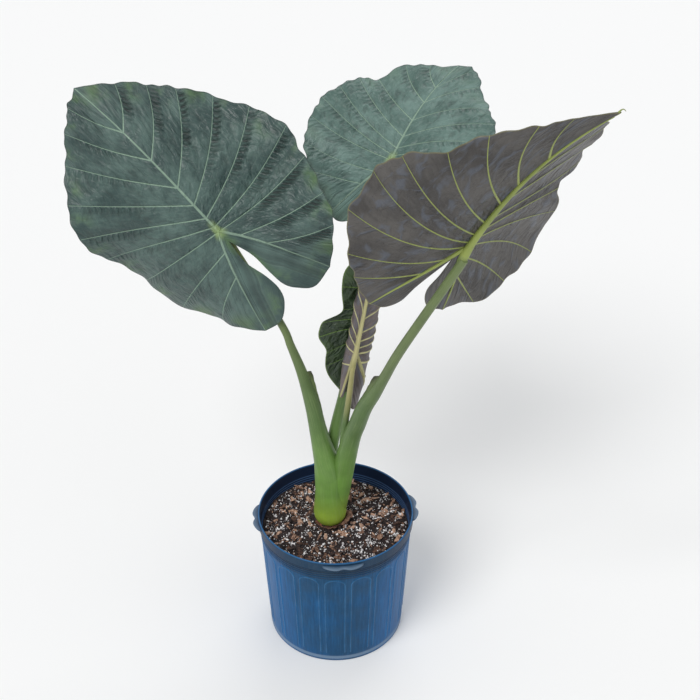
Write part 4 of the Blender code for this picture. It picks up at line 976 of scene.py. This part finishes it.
def corm_surface():
    """The swollen base: a blunt turned body with shallow leaf-scar rings, as a sum of a fixed
    profile and a small sine in z, and a few lobes round it."""
    z = np.concatenate([[CORM_BOTTOM_Z], np.linspace(CORM_BOTTOM_Z + 0.001, FOOT_Z, 44), [FOOT_Z]])
    share = np.clip((z - CORM_BOTTOM_Z) / 0.022, 0, 1)
    radius = CORM_RADIUS * np.sqrt(np.clip(1 - (1 - share) ** 2, 0, 1))
    radius[0] = 0.0
    radius[-1] = 0.0
    turn = np.linspace(0, 2 * math.pi, 96, endpoint=False)
    r, a = np.meshgrid(radius, turn, indexing="ij")
    h = np.repeat(z[:, None], len(turn), 1)
    r = r * (1 - 0.012 * (1 + np.sin(h * 2 * math.pi / 0.007)) - 0.010 * (1 + np.sin(5 * a + 40 * h)))
    points = np.stack([FOOT_XY[0] + r * np.cos(a), FOOT_XY[1] + r * np.sin(a), h], -1)
    return points.reshape(-1, 3), [grid_faces(len(z), len(turn), close_columns=True)]


def husk_surface(start, end, height, lean, radius, seed):
    """A papery scale: a strip round the foot that leans out by the cube of its height, with a
    torn top edge from three crossed sines, and its own thickness."""
    share, up = np.meshgrid(np.linspace(0, 1, 70), np.linspace(0, 1, 16), indexing="ij")
    torn = (0.35 + 0.65 * np.sin(math.pi * share)) * (1 + 0.16 * np.sin(17 * share + seed)
                                                      + 0.10 * np.sin(41 * share + 2 * seed))
    angle = math.radians(start) + math.radians(end - start) * share
    bow = radius + lean * up ** 3 * np.sin(math.pi * share) + 0.0005 * np.sin(23 * share + 6 * up + seed) * up
    z = FOOT_Z + 0.0003 + height * torn * up

    outer, inner = (np.stack([FOOT_XY[0] + r * np.cos(angle), FOOT_XY[1] + r * np.sin(angle), z], -1)
                    .reshape(-1, 3) for r in (bow + 0.0005, bow))
    return closed_sheet(outer, inner, triangles(grid_faces(*share.shape)))


class TARO_OT_set_foot(bpy.types.Operator):
    """Replace the corm and the husk with their fine forms"""
    bl_idname = "taro.set_foot"
    bl_label = "Set the foot"

    def execute(self, context):
        # Corky corm skin: reddish brown, matt
        cork = crumbly("corky corm skin", (linear("#54322a"), linear("#8a5644"), linear("#b98a6a")), 160.0)
        points, face_sets = corm_surface()
        finish_piece(mesh_object("corm_body", points, face_sets, sharp=50), cork, "corm", "corm")
        # Dry leaf-base scale: thin, papery, light brown with darker fibres
        paper = crumbly("dry papery scale", (linear("#4a322c"), linear("#735245"), linear("#a5826e")), 210.0,
                        0.75, 0.2)
        scales = [(-75, 35, 0.014, 0.013, 0.0256, 1.0), (-118, -62, 0.007, 0.008, 0.0262, 4.0),
                  (-160, -128, 0.005, 0.004, 0.0264, 2.2)]
        parts = [(*husk_surface(*scale), {}) for scale in scales]
        points, face_sets, _ = joined(parts)
        finish_piece(mesh_object("husk_scales", points, face_sets, sharp=60), paper, "husk", "husk")
        return {"FINISHED"}


# Blades and stalks

class Blade:
    """Turns flat blade coordinates into places in space, all in millimetres."""
    roll = ((0, 0, 0), (0, 0, 0))

    def __init__(self, name):
        for key, value in BLADES[name].items():
            setattr(self, key, value)
        self.junction = np.array(self.junction, float)
        azimuth, rise, lean = (math.radians(a) for a in self.heading)
        forward = np.array([math.cos(azimuth) * math.cos(rise), math.sin(azimuth) * math.cos(rise),
                            math.sin(rise)])
        level = np.array([-math.sin(azimuth), math.cos(azimuth), 0.0])
        upright = np.cross(forward, level)
        self.forward = forward
        self.across = level * math.cos(lean) + upright * math.sin(lean)
        self.normal = np.cross(forward, self.across)
        self.stalk_turn = np.array(self.stalk_turn, float)
        self.stalk_turn /= np.linalg.norm(self.stalk_turn)
        self.stub_end = self.junction - self.normal * (self.rib + RIB_SUNK)
        self.stub_start = self.stub_end - self.stalk_turn * STUB

    def midrib_side(self, u):
        """How far the midrib strays sideways at u: a straight share plus a cube."""
        share = np.clip(u, 0, None) / BEND_LENGTH
        return self.wander[0] * share + self.wander[1] * share ** 3

    @staticmethod
    def along_leaf(values, u):
        """Blends three values set at the basal lobes, the junction and the tip half."""
        back, middle, front = values
        return (back + (middle - back) * smooth_step(-110, 20, u)
                + (front - middle) * smooth_step(20, 180, u))

    def place(self, u, v, lift):
        """The midrib bends along an arc. Across it each half leaves at its fold angle and
        turns by its curl (degrees over a set width) and its roll (degrees between two widths). The
        section is the running sum of short steps at that angle. lift is along the normal."""
        bend = np.where(u >= 0, self.bend[0], self.bend[1]) * math.pi / 180 / BEND_LENGTH
        bend = np.where(np.abs(bend) < 1e-9, 1e-9, bend)
        spine_u = np.sin(bend * u) / bend
        spine_n = (1 - np.cos(bend * u)) / bend
        first = v >= 0
        fold = np.where(first, self.along_leaf(self.fold[0], u), self.along_leaf(self.fold[1], u))
        curl = np.where(first, self.along_leaf(self.curl[0], u), self.along_leaf(self.curl[1], u))
        turn, turn_from, turn_to = (np.where(first, self.roll[0][k], self.roll[1][k]) for k in range(3))
        width = np.abs(v)

        def angle_at(distance):
            """A half's angle at a distance from the midrib: fold, curl and roll added up."""
            share = np.clip((distance - turn_from) / np.maximum(turn_to - turn_from, 1e-6), 0, 1)
            return np.radians(fold + curl * distance / CURL_WIDTH + turn * share)

        out = np.zeros_like(u)
        rise = np.zeros_like(u)
        for step in range(FOLD_STEPS):
            angle = angle_at(width * (step + 0.5) / FOLD_STEPS)
            out = out + np.cos(angle) * width / FOLD_STEPS
            rise = rise + np.sin(angle) * width / FOLD_STEPS
        edge = angle_at(width)
        side = np.where(first, 1.0, -1.0)
        out = side * out - side * np.sin(edge) * lift
        rise = rise + np.cos(edge) * lift
        up = -np.sin(bend * u)[..., None] * self.forward + np.cos(bend * u)[..., None] * self.normal
        return (self.junction + spine_u[..., None] * self.forward + spine_n[..., None] * self.normal
                + (self.midrib_side(u) + out)[..., None] * self.across + rise[..., None] * up)

    def rib_points(self, side, share):
        """Points on a basal rib: v grows as the power 0.85 of the share of the way along it."""
        end = self.rib_end[side]
        return np.column_stack([end[0] * share, end[1] * share ** 0.85])

    def rows(self, side, lane):
        """Start and end of the line at each lane: lanes count the veins from the tip, 0, to the
        end of the basal rib."""
        veins = self.veins[side]
        rib_length = abs(self.rib_end[side][0])
        starts = [self.length] + [row[0] for row in veins] + [-rib_length]
        ends = [(self.length, 0.0)] + [row[1:] for row in veins] + [self.rib_end[side]]
        start = np.interp(lane, np.arange(len(starts)), starts)
        on_rib = self.rib_points(side, np.clip(-start / rib_length, 0, 1))
        on_midrib = np.column_stack([start, np.zeros_like(start)])
        base = np.where((start >= 0)[:, None], on_midrib, on_rib)
        return base, curve_through(ends, lane)


def vein_height(distance, width):
    """Half an ellipse over a vein: 1 on its middle and 0 outside its width."""
    return np.sqrt(np.clip(1 - (distance / width) ** 2, 0, 1))


def half_sheet(blade, side):
    """One half as flat points with lifts and attributes: a grid of lines that run with the
    veins, from midrib to margin, and a second grid over the inner strip of the basal lobe."""
    sign = 1.0 if side == 0 else -1.0
    depth, quilt, phase, pace = blade.wave
    phase = phase + 1.7 * side
    last = len(blade.veins[side]) + 1
    lane = np.append((np.arange(last)[:, None] + LANE_STEPS).ravel(), float(last))
    base, end = blade.rows(side, lane)
    run = end - base
    length = np.linalg.norm(run, axis=1)
    unit = run / np.maximum(length, 1e-9)[:, None]
    t = OUT_STEPS
    bow = np.interp(lane, [1, last - 3, last], blade.bow[side])
    bow = -sign * (bow * length)[:, None] * np.sin(math.pi * t)
    flat = (base[:, None] + run[:, None] * t[None, :, None]
            + bow[..., None] * np.stack([unit[:, 1], -unit[:, 0]], -1)[:, None])
    off = lane - np.floor(lane)
    calm = np.minimum(1, length / 70)
    wave = depth * t ** 3 * np.sin(2.1 * lane + phase)[:, None] * calm[:, None]
    beat = pace * lane
    frill = np.sin(4.3 * beat + phase) + 0.5 * np.sin(9.7 * beat)
    frill = 1.5 * t ** 6 * frill[:, None] * calm[:, None]
    scallop = 1.6 * np.sin(5.3 * beat + 2 * phase) + 1.1 * np.sin(11.9 * beat + phase)
    flat = flat + unit[:, None] * (t ** 6 * (scallop * calm)[:, None])[..., None]
    between = (np.abs(np.sin(math.pi * off)) ** 0.8)[:, None] * np.sin(math.pi * t ** 0.8) * calm[:, None]
    drift = 2.6 * np.sin(1.9 * lane + phase) + 1.4 * np.sin(5.1 * lane)
    weave = 2 * math.pi * t * length[:, None] / 27 + drift[:, None]
    bulge = between * (quilt + 0.55 * np.sin(weave) * smooth_step(0.12, 0.4, t))
    gap = np.gradient(flat, lane, axis=0)
    span = np.abs(gap[..., 0] * unit[:, None, 1] - gap[..., 1] * unit[:, None, 0])
    near = np.minimum(off, 1 - off)[:, None] * span
    veined = (lane > 0.5)[:, None]
    width = 1.9 * (1 - t) + 0.5
    ridge = vein_height(near, width) * (1.5 * (1 - t) + 0.35) * veined
    groove = 0.45 * np.exp(-(near / (width + 0.4)) ** 2) * veined * (1 - 0.6 * t)
    rim = (1 - t) * length[:, None]
    outer = dict(flat=flat, lift=wave + frill + bulge, ridge=ridge, groove=groove,
                 lane=np.repeat(lane[:, None], len(t), 1), span=span,
                 out=np.repeat(t[None], len(lane), 0), rim=rim, run=t * length[:, None])
    junction = [row[0] for row in blade.veins[side]].index(0) + 1
    chosen = lane >= junction
    s = INNER_STEPS
    edge = evenly([(*p, 0.0) for p in [*blade.sinus[side], blade.rib_end[side]]],
                  (lane[chosen] - junction) / (last - junction))[:, :2]
    base, run = base[chosen], edge - base[chosen]
    flat = base[:, None] + run[:, None] * s[None, :, None]
    length = np.linalg.norm(run, axis=1)
    shape = flat.shape[:2]
    inner = dict(flat=flat, lift=np.zeros(shape), ridge=np.zeros(shape), groove=np.zeros(shape),
                 lane=np.full(shape, 0.5 + junction),
                 span=np.full(shape, 60.0), out=np.repeat(s[None], shape[0], 0),
                 rim=(1 - s) * length[:, None], run=s * length[:, None])
    for block in (outer, inner):
        block["flat"][..., 1] = sign * np.maximum(sign * block["flat"][..., 1], 0.0)
    return outer, inner


def rib_distance(blade, side, flat):
    """Distance in mm from the midrib, or behind the junction from the half's own basal rib, and
    how far along that rib the point lies."""
    u, v = flat[:, 0], flat[:, 1]
    track = blade.rib_points(side, np.linspace(0, 1, RIB_TRACK))
    apart = np.hypot(u[:, None] - track[None, :, 0], v[:, None] - track[None, :, 1])
    ahead = u >= 0
    distance = np.where(ahead, np.minimum(np.abs(v), apart.min(1)), apart.min(1))
    reach = np.where(ahead & (np.abs(v) <= apart.min(1)), u / blade.length, apart.argmin(1) / (RIB_TRACK - 1))
    return distance, reach


def blade_sheet(blade):
    """Both halves merged into one sheet: points at the same flat place are one, and the top and
    bottom faces are placed by the same rule with different lifts."""
    names = ("lift", "ridge", "groove", "lane", "span", "out", "rim", "run")
    flat, values, faces, distance, reach, count = [], {k: [] for k in (*names, "half")}, [], [], [], 0
    for side in (0, 1):
        outer, inner = half_sheet(blade, side)
        for block, flip in ((outer, side == 1), (inner, side == 0)):
            rows, columns = block["lift"].shape
            quads = grid_faces(rows, columns, offset=count)
            faces.append(triangles(quads[:, ::-1] if flip else quads))
            own = block["flat"].reshape(-1, 2)
            flat.append(own)
            for key in names:
                values[key].append(block[key].ravel())
            values["half"].append(np.full(rows * columns, float(side)))
            d, r = rib_distance(blade, side, own)
            distance.append(d)
            reach.append(r)
            count += rows * columns
    flat, faces = np.vstack(flat), np.vstack(faces)
    values = {key: np.concatenate(v) for key, v in values.items()}
    values["rib"], values["reach"] = np.concatenate(distance), np.concatenate(reach)
    _, index, same = np.unique(np.round(flat, 3), axis=0, return_index=True, return_inverse=True)
    faces = same.ravel()[faces]
    faces = faces[(faces[:, 0] != faces[:, 1]) & (faces[:, 1] != faces[:, 2]) & (faces[:, 2] != faces[:, 0])]
    flat = flat[index]
    values = {key: v[index] for key, v in values.items()}
    thin = BLADE_EDGE * smooth_step(-0.5, 3.0, values["rim"])
    rib_ridge = 1.6 * np.exp(-(values["rib"] / 5.0) ** 2)
    top = blade.place(flat[:, 0], flat[:, 1], values["lift"] - values["groove"])
    bottom = blade.place(flat[:, 0], flat[:, 1],
                         values["lift"] - 0.25 - 0.75 * thin - np.maximum(values["ridge"], rib_ridge))
    points, face_sets = closed_sheet(top * MM, bottom * MM, faces)
    kept = ("lane", "span", "out", "rim", "rib", "reach", "run", "half")
    attributes = {key: np.tile(values[key], 2) for key in kept}
    attributes["under"] = np.repeat([0.0, 1.0], len(flat))
    return points, face_sets, attributes


def rib_path(blade, flat, radii):
    """A rib under the blade: its top is sunk in the blade, and the rest stands out below it."""
    centre = blade.place(flat[:, 0], flat[:, 1], -(radii + RIB_SUNK))
    return np.column_stack([centre, radii])


def stalk_and_midrib(name, blade):
    """One path from the foot up the stalk, round the bend at the junction and out along the
    midrib, with the share of the way along it: 0 at the foot, 0.7 at the junction, 1 at the tip."""
    table = np.array(STALKS[name], float)
    turn = blade.stalk_turn
    stub = [(*(blade.stub_start + d * turn), blade.rib) for d in (-9.0, 0.0, 0.45 * STUB, 0.72 * STUB)]
    along = np.linspace(10, blade.length * 0.97, RIB_STATIONS)
    thick, thin = 0.94 * blade.rib, 0.9 * RIB_TIP
    radii = thick + (thin - thick) * (along / along[-1]) ** 0.52
    midrib = rib_path(blade, np.column_stack([along, np.zeros_like(along)]), radii)
    controls = np.vstack([table[:-1], stub, midrib])
    split = len(table) - 1 + len(stub)
    stations, share = (
        np.r_[np.linspace(0, middle, STALK_STATIONS), np.linspace(middle, end, MIDRIB_STATIONS)[1:]]
        for middle, end in ((split - 1, len(controls) - 1), (JUNCTION_SHARE, 1.0)))
    return curve_through(controls, stations), share


def stalk_profile(path, name):
    """Radius factor round a stalk: fine long ribs, which fade out along the midrib. The foot of
    the outermost stalk tucks in where it meets the corm, swells, and has a slight waist above."""
    height = (path[:, 2] - FOOT_Z) / MM
    swell = 1 - 0.20 * np.exp(-height / 5.0) + 0.09 * np.exp(-((height - 17) / 13) ** 2)
    swell = swell - 0.06 * np.exp(-((height - 66) / 26) ** 2)

    def factor(station, turn):
        """Long ribs as two sines round the stalk, times the swell."""
        fade = smooth_step(STALK_STATIONS + MIDRIB_STATIONS, STALK_STATIONS, station.astype(float))
        ribs = 1 + fade * (0.006 * np.sin(17 * turn) + 0.004 * np.sin(29 * turn + 1.0))
        return ribs * (swell[station] if name == "left" else 1.0)
    return factor


def sheath_wing(name):
    """The free edge of a stalk's sheath: a thin strip that stands off the stalk along one side,
    ever further towards its square, dry top."""
    azimuth, reaches = SHEATHS[name]
    heights, reach = np.array(reaches, float).T
    table = np.array(STALKS[name], float)
    fine = curve_through(table, np.linspace(0, len(table) - 1, 1200))
    fine = fine[(fine[:, 2] > heights[0]) & (fine[:, 2] < heights[-1])]
    path = fine[np.linspace(0, len(fine) - 1, 110).astype(int)]
    share = np.linspace(0, 1, len(path))
    aim = np.array([math.cos(math.radians(azimuth)), math.sin(math.radians(azimuth)), 0.0])
    slope = np.gradient(path[:, :3], axis=0)
    slope /= np.linalg.norm(slope, axis=1)[:, None]
    out = aim - (slope @ aim)[:, None] * slope
    out /= np.linalg.norm(out, axis=1)[:, None]
    aside = np.cross(slope, out)
    height = np.interp(path[:, 2], heights, reach) * (1 + 0.05 * np.sin(31 * share))
    height = height * (1 - 0.9 * smooth_step(0.985, 1.0, share))
    across = np.linspace(0, 1, 12)
    base = path[:, :3] + out * (path[:, 3] * 0.86)[:, None]
    lean = 0.25 * across ** 2
    rise = height[:, None] + 0.14 * path[:, 3:4]
    centre = (base[:, None] + out[:, None] * (rise * across)[..., None]
              + aside[:, None] * (rise * lean)[..., None])
    half = (0.24 * path[:, 3:4] * (1 - across) ** 2 + 0.40)[..., None] * aside[:, None]
    faces = triangles(grid_faces(len(path), len(across)))
    points, face_sets = closed_sheet(((centre + half) * MM).reshape(-1, 3),
                                     ((centre - half) * MM).reshape(-1, 3), faces)
    dry = smooth_step(0.72, 1.0, share)[:, None] * (0.25 + 0.75 * across)
    dry = dry + 0.5 * smooth_step(0.8, 1.0, across)
    shade = np.repeat((0.30 + 0.22 * share)[:, None], len(across), 1)
    turn = np.repeat(across[None], len(path), 0)
    return points, face_sets, {"along": np.tile(shade.ravel(), 2), "turn": np.tile(turn.ravel(), 2),
                               "dry": np.tile(np.clip(dry, 0, 1).ravel(), 2)}


def tendril(name, blade):
    """The dried thread at a leaf's tip: it leaves along the midrib and curls down, as a curve
    through a few points in millimetres along the blade and below it."""
    at = np.array(TENDRILS[name])
    start = blade.place(np.array([blade.length - 4.0]), np.array([0.0]), np.array([-0.6]))[0]
    points = start + at[:, :1] * blade.forward + at[:, 1:2] * blade.across + at[:, 2:3] * (0, 0, -1)
    stations = np.linspace(0, len(at) - 1, THREAD_STATIONS)
    path = curve_through(np.column_stack([points, at[:, 3]]), stations) * MM
    made, face_sets, station, turn = sweep(path, blade.across, 8)
    return made, face_sets, {"along": np.full(len(made), 0.8), "turn": turn,
                             "dry": 0.35 * station / (THREAD_STATIONS - 1)}


class TARO_OT_grow_stalks(bpy.types.Operator):
    """Replace the plain stalks with finely grown ones that run on into the midribs"""
    bl_idname = "taro.grow_stalks"
    bl_label = "Grow the stalks"

    def execute(self, context):
        settings = context.scene.taro_stalk
        grown = stalk_skin("waxy stalk skin", settings, settings.upper_colour, linear("#5f7045"),
                           linear("#929f50"))
        fresh = stalk_skin("young stalk skin", settings, settings.young_colour, settings.young_colour,
                           linear("#b4ad7c"))
        for name in STALKS:
            blade = Blade(name)
            path, share = stalk_and_midrib(name, blade)
            path = path * MM
            points, face_sets, station, turn = sweep(path, blade.across, 40, stalk_profile(path, name))
            shade = np.interp(station, np.arange(len(share)), share)
            parts = [(points, face_sets, {"along": shade, "turn": turn, "dry": 0 * shade})]
            for side in (0, 1):
                shares = np.linspace(0.0, 0.95, RIB_STATIONS)
                thick = 0.74 * blade.rib_side
                radii = thick + (0.8 - thick) * shares ** 0.7
                rib = rib_path(blade, blade.rib_points(side, shares), radii) * MM
                points, face_sets, station, turn = sweep(rib, blade.across, 16)
                shade = 0.72 + 0.25 * station / (RIB_STATIONS - 1)
                parts.append((points, face_sets, {"along": shade, "turn": turn, "dry": 0 * shade}))
            if name in SHEATHS:
                parts.append(sheath_wing(name))
            if name in TENDRILS:
                parts.append(tendril(name, blade))
            points, face_sets, attributes = joined(parts)
            made = mesh_object(f"stalk_{name}_fine", points, face_sets, attributes, sharp=60)
            finish_piece(made, fresh if name == "young" else grown, "stalk", f"stalk_{name}")
        return {"FINISHED"}


class TARO_OT_grow_blades(bpy.types.Operator):
    """Replace the plain blades with veined, quilted and waved ones"""
    bl_idname = "taro.grow_blades"
    bl_label = "Grow the blades"

    def execute(self, context):
        settings = context.scene.taro_blade
        grown = dict(top=settings.top_colour, top_light=linear("#526b66"), top_vein=settings.vein_colour,
                     edge=linear("#22322f"), under=settings.under_colour,
                     under_light=linear("#55524f"), under_vein=settings.under_vein_colour)
        looks = {
            "left": dict(grown, top_light=linear("#536b65"), patches=0.75, puckers=(0.35, 1.5)),
            "back": dict(grown, top=linear("#4a655e"), top_light=linear("#6a857e"), patches=0.2,
                         puckers=(0.35, 0.35)),
            "right": dict(grown, patches=0.6, puckers=(0.12, 0.12)),
            "young": dict(top=settings.young_colour, top_light=linear("#384a2e"),
                          top_vein=linear("#6b8c3c"), edge=linear("#6d8740"), patches=0.2,
                          puckers=(0.15, 0.15), under=linear("#564d4c"),
                          under_light=linear("#6a605f"), under_vein=linear("#c4c08c"))}
        for name, look in looks.items():
            title = "young leaf skin" if name == "young" else f"waxy leaf skin {name}"
            skin = blade_skin(title, settings, **look)
            points, face_sets, attributes = blade_sheet(Blade(name))
            made = mesh_object(f"blade_{name}_fine", points, face_sets, attributes, sharp=70)
            slot = "blade_purple" if name in ("right", "young") else "blade"
            finish_piece(made, skin, slot, f"blade_{name}")
        return {"FINISHED"}


# Stage

def soft_light(name, towards, strength, spread, colour):
    """A distant lamp seen from the direction towards, as wide as spread degrees, so that the
    light is the same all over the floor and its shadows are soft."""
    data = bpy.data.lights.new(name, "SUN")
    data.energy = strength
    data.angle = math.radians(spread)
    data.color = colour
    lamp = bpy.data.objects.new(name, data)
    bpy.context.scene.collection.objects.link(lamp)
    x, y, z = towards
    lamp.location = towards
    lamp.rotation_euler = (math.atan2(math.hypot(x, y), z), 0.0, math.atan2(x, -y))


class TARO_OT_set_stage(bpy.types.Operator):
    """Set the pale floor, the soft lights and the camera"""
    bl_idname = "taro.set_stage"
    bl_label = "Set the stage"

    def execute(self, context):
        settings = context.scene.taro_stage
        corners = np.array([(-1, -1), (1, -1), (1, 1), (-1, 1)]) * FLOOR_HALF
        floor = mesh_object("floor", np.column_stack([corners, np.full(4, FLOOR_Z)]),
                            [np.array([[0, 1, 2, 3]])])
        # Plain paper sweep: pale, matt, with a fine tooth
        material, node = new_material("plain paper sweep")
        tooth = node("TexNoise", {"Vector": node("TexCoord", out="Object"), "Scale": 300.0})
        bump = node("Bump", {"Height": tooth, "Strength": 0.05, "Distance": 0.0002})
        floor.data.materials.append(close_material(material, {
            "Base Color": settings.floor_colour, "Roughness": 0.9, "Normal": bump}))
        world = bpy.data.worlds.new("soft room")
        context.scene.world = world
        world.use_nodes = True
        background = world.node_tree.nodes["Background"]
        background.inputs["Color"].default_value = linear("#f6f8fa")
        background.inputs["Strength"].default_value = 0.53
        for name, (towards, share, spread, colour) in LAMPS.items():
            soft_light(name, towards, share * settings.key_strength, spread, colour)
        data = bpy.data.cameras.new("camera")
        data.lens = settings.lens
        data.sensor_width = 36.0
        data.clip_end = 60.0
        camera = bpy.data.objects.new("camera", data)
        camera.location = CAMERA_PLACE
        camera.rotation_euler = (CAMERA_TILT, 0.0, 0.0)
        context.scene.collection.objects.link(camera)
        context.scene.camera = camera
        context.scene.view_settings.view_transform = "Standard"
        return {"FINISHED"}


class TARO_PT_panel(bpy.types.Panel):
    """Lists the steps and their settings"""
    bl_idname = "TARO_PT_panel"
    bl_label = "Giant taro"
    bl_space_type = "VIEW_3D"
    bl_region_type = "UI"
    bl_category = "Taro"

    def draw(self, context):
        """One box for each step, with its settings."""
        scene = context.scene
        for step, group in STEPS:
            box = self.layout.box()
            box.operator(step.bl_idname)
            if group:
                for key in getattr(scene, group).__annotations__:
                    box.prop(getattr(scene, group), key)


STEPS = ((TARO_OT_dress_pot, "taro_pot"), (TARO_OT_fill_soil, "taro_soil"), (TARO_OT_set_foot, None),
         (TARO_OT_grow_stalks, "taro_stalk"), (TARO_OT_grow_blades, "taro_blade"),
         (TARO_OT_set_stage, "taro_stage"))
GROUPS = {"taro_pot": PotSettings, "taro_soil": SoilSettings, "taro_stalk": StalkSettings,
          "taro_blade": BladeSettings, "taro_stage": StageSettings}


def register():
    """Registers the settings, the steps and the panel."""
    for key, group in GROUPS.items():
        bpy.utils.register_class(group)
        setattr(bpy.types.Scene, key, PointerProperty(type=group))
    for step, _ in STEPS:
        bpy.utils.register_class(step)
    bpy.utils.register_class(TARO_PT_panel)


def unregister():
    """Takes back what register did, in the opposite order."""
    bpy.utils.unregister_class(TARO_PT_panel)
    for step, _ in reversed(STEPS):
        bpy.utils.unregister_class(step)
    for key, group in reversed(GROUPS.items()):
        delattr(bpy.types.Scene, key)
        bpy.utils.unregister_class(group)


def main():
    """Builds the dressed part."""
    register()
    bpy.ops.taro.dress_pot()
    bpy.ops.taro.fill_soil()
    bpy.ops.taro.set_foot()
    bpy.ops.taro.grow_stalks()
    bpy.ops.taro.grow_blades()
    bpy.ops.taro.set_stage()


if __name__ == "__main__":
    main()
